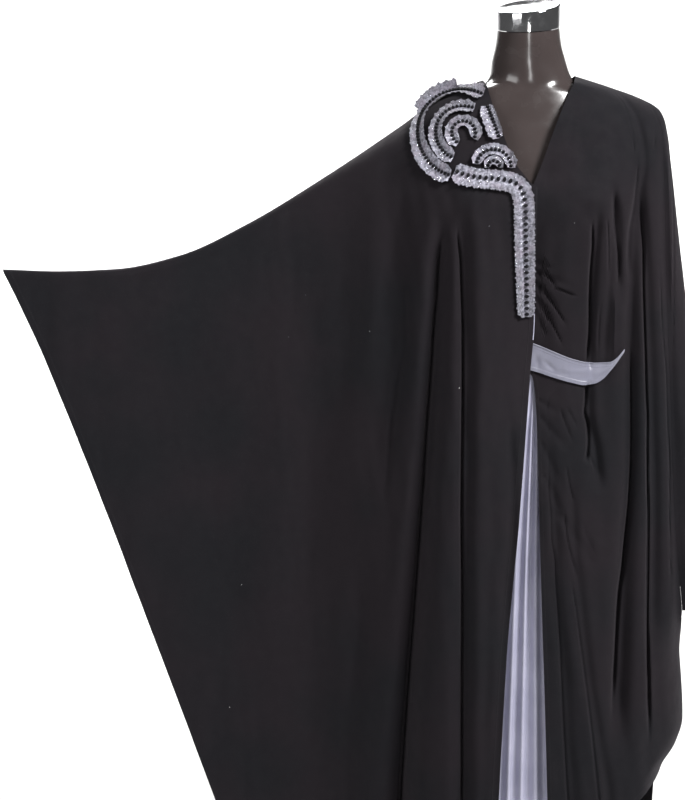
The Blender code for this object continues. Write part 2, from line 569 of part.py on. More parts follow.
def layered(depth, x, z, side):
    """The depth rounded over at the top line and the side seam, and kept clear of the dress form."""
    radius = rounding(x)
    off = np.clip(off_top(x, z), 0, radius)
    closed = smooth((SIDE_TOP - z) / SIDE_FADE)
    seam = arch(side_seam(z) - x, SIDE_RADIUS)
    depth = depth * arch(off, radius) * (1 - closed * (1 - seam))
    least = form_depth(x, z, side, CLOTH + REST_GAP + EASE * smooth(off / (0.2 * radius)))
    blend = 0.002
    return (depth + least + np.sqrt((depth - least) ** 2 + blend**2)) / 2


right_depths = table(RIGHT_DEPTHS, "height")
left_depths = table(LEFT_DEPTHS, "height")
back_depths = table(BACK_DEPTHS, "height")


def right_depth(x, z):
    depth = across(RIGHT_AT, [column(z) for column in right_depths.values()], x)
    for fold in RIGHT_FOLDS:
        depth = depth - trough(fold, x, z)
    return layered(depth, x, z, "front")


def left_depth(x, z):
    depth = across(LEFT_AT, [column(z) for column in left_depths.values()], x)
    for fold in LEFT_FOLDS:
        depth = depth - trough(fold, x, z)
    for gather in GATHERS:
        depth = depth - crease(gather, x, z)
    return layered(depth, x, z, "front")


def back_depth(x, z):
    depth = across(BACK_AT, [column(z) for column in back_depths.values()], x)
    for fold in BACK_FOLDS:
        depth = depth - trough(fold, x, z)
    return layered(depth, x, z, "back")


def placed(depth, x, z, side):
    """Points of a panel's outer face."""
    sign = -1.0 if side == "front" else 1.0
    return np.stack([x, middle(x) + sign * depth(x, z), z], axis=-1)


def offsets(points, side):
    """Which way, and how far per unit of wall, each point goes out to keep the wall's thickness."""
    rows, cols = points.shape[:2]
    flat = points.reshape(-1, 3)
    faces = np.array(triangles_of(rows, cols, False))
    a, b, c = (flat[faces[:, k]] for k in range(3))
    ways = np.cross(b - a, c - a)
    if (ways[:, 1].sum() > 0) == (side == "front"):
        ways = -ways
    sums = np.zeros_like(flat)
    for k in range(3):
        np.add.at(sums, faces[:, k], ways)
    normals = sums / np.linalg.norm(sums, axis=1, keepdims=True)
    ways = ways / np.linalg.norm(ways, axis=1, keepdims=True)
    least = np.ones(len(flat))
    for k in range(3):
        np.minimum.at(least, faces[:, k], np.einsum("ij,ij->i", ways, normals[faces[:, k]]))
    return (normals / np.clip(least, 0.6, 1.0)[:, None]).reshape(points.shape)


def to_shoulder(points, out, edge, side):
    """Puts an edge half a seam's gap off the middle plane, with its wall straight below the top line."""
    sign = -1.0 if side == "front" else 1.0
    x = points[edge][..., 0]
    points[edge + (1,)] = middle(x) + sign * SEAM / 2
    slope = (top_line(x + 1e-4) - top_line(x - 1e-4)) / 2e-4
    length = np.sqrt(1 + slope**2)
    out[edge] = np.stack([-slope / length, np.zeros_like(x), 1 / length], axis=-1)


def square_edge(out, edge):
    """Keeps an edge's wall in the plane of its seam, at the wall's full thickness."""
    ways = out[edge]
    ways = ways / np.linalg.norm(ways, axis=-1, keepdims=True)
    reach = 1 / np.clip(np.hypot(ways[..., 1], ways[..., 2]), 0.6, 1.0)
    ways[..., 0] = 0
    ways = ways / np.linalg.norm(ways, axis=-1, keepdims=True)
    out[edge] = ways * reach[..., None]


def columns(lines, splits):
    """Each column of a panel's grid as (line before, line after, share between them)."""
    names = [name for name, _ in splits] + [lines[0]._fields[-1]]
    found = []
    for i, (name, count) in enumerate(splits):
        shares = count if isinstance(count, list) else [k / count for k in range(count)]
        found += [(name, names[i + 1], share) for share in shares]
    return found + [(names[-1], names[-1], 0.0)]


def column_x(curves, column, z):
    before, after, share = column
    return curves[before](z) * (1 - share) + curves[after](z) * share


def meeting(curves, column, edge, start):
    """The height at which a column meets an edge that is given as height over x."""
    z = start
    for _ in range(80):
        z = 0.5 * z + 0.5 * float(edge(column_x(curves, column, z)))
    return z


ARCH_STEPS = [0, 13, 27, 43, 62, 90]


def panel_grid(lines, splits, top_edge, hem, shares):
    """x and z of a panel's grid: close rows where the cloth rounds over, then rows at shares of the rest."""
    curves = table(lines, "height")
    hem_at = curve([h.x for h in hem], [h.height for h in hem])
    xs, zs = [], []
    for column in columns(lines, splits):
        top = meeting(curves, column, top_edge, 1.3)
        bottom = meeting(curves, column, hem_at, 0.1)
        radius = float(rounding(column_x(curves, column, top)))
        z = [top - radius * (1 - math.cos(math.radians(a))) for a in ARCH_STEPS]
        z += [z[-1] + (bottom - z[-1]) * share for share in shares]
        xs.append([float(column_x(curves, column, h)) for h in z])
        zs.append(z)
    return np.array(xs).T, np.array(zs).T


v_right = curve([p.x for p in V_RIGHT], [p.height for p in V_RIGHT])
v_left = curve([p.x for p in V_LEFT], [p.height for p in V_LEFT])


def right_top(x):
    """The right front's top edge: the V of the neck, then the shoulder seam and the wing's top."""
    return np.where(x > NECK_RIGHT.x, v_right(x), top_line(x))


def left_top(x):
    """The left front's top edge, whose V runs on under the right front."""
    return np.where(x < NECK_LEFT.x, v_left(x), top_line(x))


def back_top(x):
    """The back's top edge: shoulder seams on both sides of a shallow curve behind the neck."""
    inside = np.clip((x - NECK_RIGHT.x) / (NECK_LEFT.x - NECK_RIGHT.x), 0, 1)
    straight = NECK_RIGHT.height + (NECK_LEFT.height - NECK_RIGHT.height) * inside
    neck = straight - BACK_NECK_DROP * np.sin(np.pi * inside) ** 0.8
    return np.where((inside > 0) & (inside < 1), neck, top_line(x))


def triangles_of(rows, cols, flip):
    """Triangles of a grid of points, row by row."""
    faces = []
    for r in range(rows - 1):
        for c in range(cols - 1):
            a, b = r * cols + c, r * cols + c + 1
            d, e = a + cols, b + cols
            faces += [(a, b, e), (a, e, d)]
    return [face[::-1] for face in faces] if flip else faces


def rim_of(rows, cols):
    """The grid's border, once round."""
    top = [c for c in range(cols)]
    right = [r * cols + cols - 1 for r in range(1, rows)]
    bottom = [(rows - 1) * cols + c for c in range(cols - 2, -1, -1)]
    left = [r * cols for r in range(rows - 2, 0, -1)]
    return top + right + bottom + left


def material(name):
    made = bpy.data.materials.get(name)
    if made is None:
        colour, roughness, metallic = COLOURS[name]
        made = bpy.data.materials.new(name)
        made.use_nodes = True
        shader = made.node_tree.nodes["Principled BSDF"]
        shader.inputs["Base Color"].default_value = colour
        shader.inputs["Roughness"].default_value = roughness
        shader.inputs["Metallic"].default_value = metallic
        made.diffuse_color = colour
    return made


def solid(name, points, faces, finish):
    """A mesh object with its faces pointing out."""
    mesh = bpy.data.meshes.new(name)
    mesh.from_pydata([tuple(p) for p in points], [], faces)
    shell = bmesh.new()
    shell.from_mesh(mesh)
    if shell.calc_volume(signed=True) < 0:
        bmesh.ops.reverse_faces(shell, faces=shell.faces)
    shell.to_mesh(mesh)
    shell.free()
    mesh.materials.append(material(finish))
    mesh.shade_smooth()
    mesh.set_sharp_from_angle(angle=math.radians(50))
    placed_object = bpy.data.objects.new(name, mesh)
    bpy.context.scene.collection.objects.link(placed_object)
    return placed_object


def wall(name, outer, inner, finish):
    """A closed wall between two grids of points. Returns its outer face, to lay things on."""
    rows, cols = outer.shape[:2]
    count = rows * cols
    faces = triangles_of(rows, cols, False)
    faces += [tuple(i + count for i in face) for face in triangles_of(rows, cols, True)]
    rim = rim_of(rows, cols)
    for a, b in zip(rim, rim[1:] + rim[:1]):
        faces += [(b, a, a + count), (b, a + count, b + count)]
    points = np.concatenate([outer.reshape(-1, 3), inner.reshape(-1, 3)])
    solid(name, points, faces, finish)
    outer_points = [Vector(p) for p in outer.reshape(-1, 3)]
    return BVHTree.FromPolygons(outer_points, triangles_of(rows, cols, False))


def steps_to_one(first, count):
    """Shares that rise to 1, close together up to first and wider after it."""
    near, far = first
    close = [near * (k + 1) / count[0] for k in range(count[0])]
    wide = [near + (far - near) * (k + 1) / count[1] for k in range(count[1])]
    return close + wide + [far + (1 - far) * (k + 1) / count[2] for k in range(count[2])]


def front_right():
    shares = [(k + 1) / 17 for k in range(17)]
    x, z = panel_grid(RIGHT_LINES, RIGHT_SPLITS, right_top, RIGHT_HEM, shares)
    outer = placed(right_depth, x, z, "front")
    out = offsets(outer, "front")
    shoulder = np.where(x[0] <= NECK_RIGHT.x + 0.0005)[0]
    to_shoulder(outer, out, (0, shoulder), "front")
    return wall("front_right", outer, outer - CLOTH * out, "black_cloth")


def front_left():
    shares = steps_to_one((0.17, 0.36), (9, 6, 8))
    x, z = panel_grid(LEFT_LINES, LEFT_SPLITS, left_top, LEFT_HEM, shares)
    x[:, -1] -= SEAM / 2
    outer = placed(left_depth, x, z, "front")
    out = offsets(outer, "front")
    square_edge(out, (slice(None), -1))
    close_side(outer, out, "front")
    shoulder = np.where(x[0] >= NECK_LEFT.x)[0]
    to_shoulder(outer, out, (0, shoulder), "front")
    surface = wall("front_left", outer, outer - CLOTH * out, "black_cloth")
    return surface, np.stack([x[:, -1], z[:, -1]], axis=-1)


def back():
    shares = [(k + 1) / 15 for k in range(15)]
    x, z = panel_grid(BACK_LINES, BACK_SPLITS, back_top, BACK_HEM, shares)
    x[:, -1] -= SEAM / 2
    outer = placed(back_depth, x, z, "back")
    out = offsets(outer, "back")
    square_edge(out, (slice(None), -1))
    close_side(outer, out, "back")
    shoulder = np.where((x[0] <= NECK_RIGHT.x + 0.0005) | (x[0] >= NECK_LEFT.x - 0.0005))[0]
    to_shoulder(outer, out, (0, shoulder), "back")
    wall("back", outer, outer - CLOTH * out, "black_cloth")
    return np.stack([x[:, -1], z[:, -1]], axis=-1)


def close_side(points, out, side):
    """Brings a panel's left edge on to the middle plane below the cuff, half a seam's gap off it."""
    sign = -1.0 if side == "front" else 1.0
    x, z = points[:, -1, 0], points[:, -1, 2]
    closed = smooth((SIDE_TOP - z) / SIDE_FADE)[:, None]
    off_plane = np.maximum(sign * (points[:, -1, 1] - middle(x)), SEAM / 2)
    points[:, -1, 1] = middle(x) + sign * off_plane
    lean = (side_seam(z + 1e-4) - side_seam(z - 1e-4)) / 2e-4
    sideways = np.stack([np.ones_like(x), np.zeros_like(x), -lean], axis=-1)
    sideways /= np.linalg.norm(sideways, axis=1, keepdims=True)
    out[:, -1] = out[:, -1] * (1 - closed) + sideways * closed


def hanging_wing(name, depth, seam, side):
    """One layer of the wing that hangs at the left: from the panel's seam out to the top edge."""
    edge_points = [p for p in TOP_LINE if p.x > WING_EDGE_FROM][::-1]
    edge_x = curve([p.height for p in edge_points], [p.x for p in edge_points])
    seam = seam[seam[:, 1] > CUFF_INNER]
    down = (seam[0, 1] - seam[:, 1]) / (seam[0, 1] - seam[-1, 1])
    x, z = np.zeros((len(seam), WING_COLUMNS)), np.zeros((len(seam), WING_COLUMNS))
    for c in range(WING_COLUMNS):
        share = c / (WING_COLUMNS - 1)
        out = 1 - (1 - share) ** 1.4
        start_x = seam[0, 0] * (1 - out) + WING_TOP.x * out
        start_z = float(top_line(start_x))
        end_z = seam[-1, 1] + (WING_TIP.height - seam[-1, 1]) * share
        z[:, c] = start_z + (end_z - start_z) * down
        edge = np.interp(down, [0, 0.03], [0, 1])
        outer_x = WING_TOP.x + (edge_x(z[:, c]) - WING_TOP.x) * edge
        x[:, c] = seam[:, 0] * (1 - out) + outer_x * out
    x[:, 0] += SEAM
    outer = placed(depth, x, z, side)
    out = offsets(outer, side)
    square_edge(out, (slice(None), 0))
    to_shoulder(outer, out, (0, slice(None)), side)
    to_shoulder(outer, out, (slice(None), -1), side)
    wall(name, outer, outer - CLOTH * out, "black_cloth")


def inset():
    """The pleated satin panel that shows in the slit."""
    rows = table(INSET_ROWS, "height")
    top, bottom = INSET_ROWS[-1].height, INSET_ROWS[0].height
    across_count = 4 * INSET_PLEATS + 1
    shares = [(r / (INSET_ROW_COUNT - 1)) ** 1.25 for r in range(INSET_ROW_COUNT)]
    z = np.array([[top + (bottom - top) * share] * across_count for share in shares])
    s = np.linspace(0, 1, across_count)[None, :] * np.ones_like(z)
    x = rows["left"](z) * (1 - s) + rows["right"](z) * s
    y = -(rows["depth"](z) + rows["pleat"](z) * np.cos(2 * np.pi * INSET_PLEATS * s))
    outer = np.stack([x, y, z], axis=-1)
    wall("satin_inset", outer, outer - SATIN * offsets(outer, "front"), "grey_satin")


def lay(surface, x, z, reach):
    """The front-most point of a built panel within a reach of x and z, and the even way out there."""
    ahead, way = 0.0, Vector((0, -0.01, 0))
    for share_x, share_z in ((0, 0), (1, 0), (-1, 0), (0, 1), (0, -1)):
        for step in (reach, NORMAL_REACH):
            start = Vector((x + share_x * step, -1.0, z + share_z * step))
            hit, normal, _, _ = surface.ray_cast(start, Vector((0, 1, 0)))
            if hit is not None and step == reach:
                ahead = min(ahead, hit.y)
            elif hit is not None:
                way += normal if normal.y < 0 else -normal
    return Vector((x, ahead, z)), way.normalized()


def belt(surface):
    rows = table(BELT_ROWS, "x")
    places = np.linspace(BELT_ROWS[0].x, BELT_ROWS[-1].x, BELT_COLUMNS)
    under, over = [], []
    for share in np.linspace(0, 1, BELT_ACROSS + 1):
        line_under, line_over = [], []
        for x in places:
            z = float(rows["bottom"](x) + (rows["top"](x) - rows["bottom"](x)) * share)
            foot, _ = lay(surface, x, z, BELT_SETTLE)
            crown = BELT_CROWN * math.sin(math.pi * share)
            line_under.append(foot - Vector((0, REST_GAP, 0)))
            line_over.append(foot - Vector((0, REST_GAP + BELT_WALL + crown, 0)))
        under.append(line_under)
        over.append(line_over)
    wall("belt", np.array(over), np.array(under), "grey_satin")


def evenly(points, step):
    """Points a step apart along a polyline, and the directions there."""
    points = np.array(points, float)
    lengths = np.concatenate([[0], np.cumsum(np.linalg.norm(np.diff(points, axis=0), axis=1))])
    count = max(2, int(round(lengths[-1] / step)))
    places = np.linspace(0, lengths[-1], count + 1)
    found = np.stack([np.interp(places, lengths, points[:, i]) for i in (0, 1)], axis=-1)
    ways = np.gradient(found, axis=0)
    return found, ways / np.linalg.norm(ways, axis=1, keepdims=True)


centre_front = table(RIGHT_LINES, "height")["centre"]


def spread(surface, x, z, step_x, step_z):
    """How much of a step across a panel is left in front view, where the panel turns away."""
    near, _ = lay(surface, x, z, 0.0)
    far, _ = lay(surface, x + 0.4 * step_x, z + 0.4 * step_z, 0.0)
    if near.y == 0.0 or far.y == 0.0:
        return 1.0
    length = 0.4 * math.hypot(step_x, step_z)
    return max(0.4, length / math.hypot(length, far.y - near.y))


def ruffle(name, line, outer_reach, inner_reach, settle, surface):
    """A gathered ribbon sewn down along its middle, whose two sides stand up in waves."""
    stations, ways = evenly(line, RUFFLE_PITCH / 2)
    rows = []
    for reach in (-outer_reach, 0.0, inner_reach):
        steps = np.stack([ways[:, 1], -ways[:, 0]], axis=-1) * reach
        if reach:
            shares = [spread(surface, *at, *step) for at, step in zip(stations, steps)]
            steps = steps * np.array(shares)[:, None]
        rows.append(stations + steps)
    under, over = [[], [], []], [[], [], []]
    for i, row in enumerate(rows):
        spacing = np.linalg.norm(np.gradient(row, axis=0), axis=1)
        waves = FRILL_WAVE * np.minimum(1, spacing / (RUFFLE_PITCH / 2)) ** 1.5
        for k, (at_x, at_z) in enumerate(row):
            side = (-1) ** k * (1 if i == 0 else -1)
            rise = RUFFLE_LIFT if i == 1 else FRILL_RISE - side * waves[k]
            beyond = max(0.0, at_x - float(centre_front(at_z)) + EDGE_INSIDE)
            above = max(0.0, at_z - float(right_top(at_x - beyond)) + EDGE_INSIDE)
            foot, way = lay(surface, at_x - beyond, at_z - above, settle if i == 1 else FRILL_SETTLE)
            foot = foot + Vector((beyond, 0, above)) + way * rise
            under[i].append(foot)
            over[i].append(foot + way * RIBBON)
    wall(name, np.array(over), np.array(under), "silver_ribbon")


def smooth_line(points):
    """A smooth line through hand-placed points."""
    points = np.array(points, float)
    places = np.arange(len(points))
    fine = np.linspace(0, len(points) - 1, 12 * len(points))
    return np.stack([curve(places, points[:, i])(fine) for i in (0, 1)], axis=-1)


def ruffles(surface):
    for arc in ROSETTE_ARCS:
        angles = np.radians(np.linspace(arc.start, arc.end, 60))
        xs = arc.x + arc.radius_x * np.cos(angles)
        zs = arc.z + arc.radius_z * np.sin(angles)
        line = np.stack([xs, zs], axis=-1)[::-1]
        ruffle(arc.name, line, arc.outer, arc.inner, SETTLE, surface)
    for sweep in RUFFLE_SWEEPS:
        ruffle(sweep.name, smooth_line(sweep.points), sweep.outer, sweep.inner, sweep.settle, surface)


def rings_solid(name, rings, finish):
    """A closed solid through rings of points, with flat ends."""
    sides = len(rings[0])
    points = [p for ring in rings for p in ring]
    faces = []
    for r in range(len(rings) - 1):
        for k in range(sides):
            a, b = r * sides + k, r * sides + (k + 1) % sides
            faces.append((a, b, b + sides, a + sides))
    last = (len(rings) - 1) * sides
    faces.append(tuple(range(sides))[::-1])
    faces.append(tuple(range(last, last + sides)))
    return solid(name, points, faces, finish)


def form_ring(height, over=0.0, slant=0.0, side_slant=0.0, share=1.0):
    """A ring of the dress form at a height, widened, tilted about the middle of the neck."""
    half_width = (float(form_at["half_width"](height)) + over) * share
    lean, aside = float(form_at["lean"](height)), float(form_at["aside"](height))
    ring = []
    for k in range(FORM_SIDES):
        angle = 2 * math.pi * k / FORM_SIDES
        reach = float(form_at["front" if math.sin(angle) < 0 else "back"](height)) + over
        x, y = half_width * math.cos(angle), reach * share * math.sin(angle)
        ring.append((x + aside, y + lean, height + slant * y + side_slant * x))
    return ring


def dress_form():
    heights = [ring.height for ring in FORM_RINGS[:-1]]
    rings = [form_ring(h) for h in heights]
    rings.append(form_ring(NECK_TOP, slant=NECK_TOP_SLANT, side_slant=NECK_SIDE_SLANT))
    rings_solid("form_torso", rings, "form_gloss")

    def cap_ring(height, slant, side_slant, share):
        ring = form_ring(NECK_TOP, CAP_OVER, slant, side_slant, share)
        return [(x, y, z - NECK_TOP + height) for x, y, z in ring]

    edge = CAP_TOP - CAP_ROUND
    cap = [
        cap_ring(NECK_TOP + SEAM, NECK_TOP_SLANT, NECK_SIDE_SLANT, 1.0),
        cap_ring(edge, CAP_TOP_SLANT, CAP_SIDE_SLANT, 1.0),
        cap_ring(CAP_TOP - 0.3 * CAP_ROUND, CAP_TOP_SLANT, CAP_SIDE_SLANT, 0.98),
        cap_ring(CAP_TOP, CAP_TOP_SLANT, CAP_SIDE_SLANT, 0.94),
    ]
    rings_solid("neck_cap", cap, "chrome")


def turned(name, profile, sides, finish):
    """A solid turned about the pole's axis from (radius, height) points, bottom to top."""
    rings = []
    for radius, height in profile:
        angles = [2 * math.pi * k / sides for k in range(sides)]
        rings.append([(radius * math.cos(a), radius * math.sin(a), height) for a in angles])
    rings_solid(name, rings, finish)


def stand():
    pole_foot = BASE_DOME + HUB_HEIGHT + SEAM
    pole_head = FORM_BOTTOM - SEAM
    turned("stand_pole", [
        (POLE_RADIUS, pole_foot),
        (POLE_RADIUS, pole_head - FLANGE_HEIGHT - 0.02),
        (FLANGE_RADIUS, pole_head - FLANGE_HEIGHT),
        (FLANGE_RADIUS, pole_head),
    ], 20, "chrome")
    turned("stand_base", [
        (BASE_RADIUS - 0.002, 0.0),
        (BASE_RADIUS, 0.002),
        (BASE_RADIUS, BASE_RIM - 0.002),
        (BASE_RADIUS - 0.004, BASE_RIM),
        (0.5 * BASE_RADIUS, 0.5 * (BASE_RIM + BASE_DOME) + 0.001),
        (HUB_RADIUS + 0.006, BASE_DOME),
        (HUB_RADIUS, BASE_DOME + 0.006),
        (HUB_RADIUS - 0.004, BASE_DOME + HUB_HEIGHT),
    ], 32, "chrome")


def main():
    for old in list(bpy.data.objects):
        bpy.data.objects.remove(old)
    dress_form()
    stand()
    right_surface = front_right()
    left_surface, front_seam = front_left()
    back_seam = back()
    hanging_wing("wing_left_front", left_depth, front_seam, "front")
    hanging_wing("wing_left_back", back_depth, back_seam, "back")
    inset()
    belt(left_surface)
    ruffles(right_surface)


main()
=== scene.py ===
"""The look of a farasha kaftan on a limbless dress form.

Metres, +Z up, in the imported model's frame. The cloth's tables are those of the
solids: a panel's point is given by its x and z, and a depth table says how far
it lies off the middle plane. Here the panels have close grids, with the small
creases, hems, beads and weave that the solids leave out.
"""

import math
from collections import namedtuple

import bmesh
import bpy
import numpy as np
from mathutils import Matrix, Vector
from mathutils.bvhtree import BVHTree


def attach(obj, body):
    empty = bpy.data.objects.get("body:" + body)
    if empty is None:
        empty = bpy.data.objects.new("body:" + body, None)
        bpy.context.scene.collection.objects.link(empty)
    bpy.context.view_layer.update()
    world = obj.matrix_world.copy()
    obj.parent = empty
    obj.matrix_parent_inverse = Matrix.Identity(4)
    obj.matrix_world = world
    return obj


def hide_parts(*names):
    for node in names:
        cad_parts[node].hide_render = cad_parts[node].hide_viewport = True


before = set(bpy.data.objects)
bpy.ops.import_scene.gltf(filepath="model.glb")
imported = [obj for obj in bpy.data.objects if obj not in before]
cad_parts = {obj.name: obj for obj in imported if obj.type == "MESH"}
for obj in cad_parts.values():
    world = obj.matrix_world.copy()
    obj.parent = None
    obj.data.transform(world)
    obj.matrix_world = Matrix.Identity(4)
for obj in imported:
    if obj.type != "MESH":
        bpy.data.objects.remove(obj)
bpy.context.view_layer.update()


def rows_of(kind, *given):
    """A table with named columns."""
    return [kind(*row) for row in given]


# Walls and gaps
CLOTH = 0.0018
SEAM = 0.0003
EASE = 0.0055
REST_GAP = 0.0008
SHELL = 0.0009
ROUND_BLEND = 0.002
LEAST_TURN = 0.6
NECK_REACH = 0.0005
SIGN = {"front": -1.0, "back": 1.0}

# Dress form and stand
FORM_SIDES = 96
FORM_ROWS = 150
NECK_TOP_SLANT = math.tan(math.radians(11.5))
NECK_SIDE_SLANT = math.tan(math.radians(2.7))
TILT_FROM = 1.44
CAP_TOP = 1.5115
CAP_TOP_SLANT = math.tan(math.radians(15))
CAP_SIDE_SLANT = math.tan(math.radians(6.4))
CAP_OVER = 0.0008
CAP_ROUND = 0.0025
CAP_SHRINK = 0.06
POLE_RADIUS = 0.014
FLANGE_RADIUS = 0.034
FLANGE_HEIGHT = 0.012
BASE_RADIUS = 0.17
BASE_RIM = 0.006
BASE_DOME = 0.012
HUB_RADIUS = 0.028
HUB_HEIGHT = 0.03
STAND_SIDES = 96
BASE_CORNER = 0.002
FLANGE_CORNER = 0.001
FLANGE_SLOPE = 0.02
Ring = namedtuple("Ring", "height half_width front back lean aside")
FORM_RINGS = rows_of(
    Ring,
    (0.7, 0.14, 0.078, 0.09, 0, 0), (0.712, 0.156, 0.09, 0.104, 0, 0), (0.76, 0.169, 0.099, 0.115, 0, 0),
    (0.82, 0.168, 0.1, 0.12, 0, 0), (0.88, 0.152, 0.096, 0.112, 0, 0), (0.94, 0.134, 0.09, 0.098, 0, 0),
    (1, 0.127, 0.088, 0.09, 0, 0), (1.06, 0.134, 0.092, 0.09, 0, 0), (1.13, 0.152, 0.108, 0.092, 0, 0),
    (1.18, 0.165, 0.127, 0.095, 0, 0), (1.215, 0.172, 0.128, 0.098, 0, 0),
    (1.26, 0.182, 0.107, 0.101, 0, 0), (1.3, 0.187, 0.092, 0.097, 0, 0), (1.325, 0.184, 0.084, 0.091, 0, 0),
    (1.343, 0.17, 0.077, 0.086, 0, 0), (1.36, 0.149, 0.071, 0.08, 0, 0),
    (1.3715, 0.135, 0.067, 0.076, 0, 0), (1.3795, 0.122, 0.065, 0.072, 0, 0),
    (1.3855, 0.097, 0.063, 0.068, 0, 0), (1.3905, 0.075, 0.0615, 0.0645, -0.001, 0),
    (1.405, 0.0632, 0.058, 0.06, -0.004, -0.0008), (1.425, 0.0585, 0.0535, 0.056, -0.008, -0.0035),
    (1.45, 0.052, 0.051, 0.053, -0.012, -0.0048), (1.477, 0.0485, 0.049, 0.05, -0.015, -0.0055),
)
FORM_BOTTOM = FORM_RINGS[0].height
NECK_TOP = FORM_RINGS[-1].height

# The line that the shoulder seams and the wings' top edges follow, in front view
Place = namedtuple("Place", "x z")
TOP_LINE = rows_of(
    Place,
    (-1, 1.106), (-0.828, 1.104), (-0.74, 1.101), (-0.65, 1.104), (-0.55, 1.125), (-0.45, 1.171),
    (-0.32, 1.249), (-0.2, 1.329), (-0.125, 1.382), (-0.075, 1.398), (0, 1.424), (0.069, 1.4045),
    (0.126, 1.3865), (0.176, 1.368), (0.2, 1.354), (0.208, 1.343), (0.215, 1.318), (0.222, 1.268),
    (0.238, 1.142), (0.252, 1.04), (0.283, 0.812), (0.314, 0.583), (0.345, 0.35),
)
TOP_LINE_TURN = 0.205

# How near the top line the cloth rounds over from front to back
Rounding = namedtuple("Rounding", "x radius")
ROUNDING = rows_of(
    Rounding,
    (-0.9, 0.008), (-0.65, 0.012), (-0.45, 0.018), (-0.32, 0.03), (-0.23, 0.05), (-0.15, 0.075), (0, 0.09),
    (0.15, 0.07), (0.2, 0.05), (0.32, 0.04),
)

# The held wing swings a little forward towards its tip
TIP_FORWARD = 0.045
TIP_X = -0.828
WING_ROOT_X = -0.22

# Neckline
BACK_NECK_DROP = 0.030
V_RIGHT = rows_of(
    Place,
    (-0.075, 1.398), (-0.062, 1.345), (-0.049, 1.305), (-0.036, 1.272), (-0.022, 1.252), (-0.007, 1.2355),
    (0.02, 1.222),
)
V_LEFT = rows_of(
    Place,
    (-0.014, 1.222), (-0.007, 1.2355), (0.0047, 1.261), (0.0285, 1.323), (0.047, 1.365), (0.069, 1.4045),
)
NECK_RIGHT = V_RIGHT[0]
NECK_LEFT = V_LEFT[-1]

# Lines of the panels, x by height: both fronts from the centre out, and the back from right to left
RightLine = namedtuple("RightLine", "height centre fold_b fold_a fold_c wing_in wing_out edge")
RIGHT_LINES = rows_of(
    RightLine,
    (0.02, -0.062, -0.108, -0.21, -0.29, -0.345, -0.4, -0.427),
    (0.133, -0.059, -0.108, -0.206, -0.29, -0.35, -0.415, -0.464),
    (0.292, -0.054, -0.108, -0.201, -0.285, -0.36, -0.445, -0.518),
    (0.504, -0.043, -0.107, -0.188, -0.27, -0.37, -0.485, -0.593),
    (0.738, -0.023, -0.106, -0.169, -0.242, -0.378, -0.525, -0.676),
    (0.942, -0.007, -0.105, -0.156, -0.218, -0.385, -0.565, -0.753),
    (1.03, -0.001, -0.108, -0.149, -0.213, -0.39, -0.59, -0.79),
    (1.16, -0.002, -0.116, -0.141, -0.203, -0.4, -0.63, -0.852),
    (1.266, -0.001, -0.112, -0.137, -0.188, -0.41, -0.66, -0.902),
    (1.42, 0.004, -0.08, -0.115, -0.16, -0.43, -0.7, -0.975),
)
LeftLine = namedtuple("LeftLine", "height centre side valley fold_e seam")
LEFT_LINES = rows_of(
    LeftLine,
    (0.02, 0.03, 0.1, 0.135, 0.185, 0.2585), (0.286, 0.0223, 0.095, 0.136, 0.188, 0.2585),
    (0.378, 0.0195, 0.095, 0.137, 0.19, 0.2585), (0.483, 0.0163, 0.095, 0.138, 0.192, 0.2515),
    (0.574, 0.013, 0.095, 0.141, 0.192, 0.2425), (0.713, 0.009, 0.098, 0.146, 0.191, 0.228),
    (0.85, 0.0058, 0.1, 0.15, 0.186, 0.22), (0.935, 0, 0.1, 0.152, 0.182, 0.216),
    (0.965, -0.014, 0.1, 0.152, 0.18, 0.214), (1.06, -0.014, 0.1, 0.152, 0.176, 0.209),
    (1.151, -0.014, 0.104, 0.152, 0.172, 0.205), (1.212, -0.014, 0.106, 0.158, 0.172, 0.203),
    (1.266, -0.01, 0.104, 0.167, 0.181, 0.201), (1.328, 0.01, 0.098, 0.16, 0.176, 0.195),
    (1.354, 0.02, 0.095, 0.15, 0.166, 0.186), (1.385, 0.03, 0.092, 0.128, 0.146, 0.16),
    (1.42, 0.04, 0.088, 0.11, 0.12, 0.13),
)
BackLine = namedtuple("BackLine", "height edge wing_out wing_in side_r blade_r blade_l side_l seam")
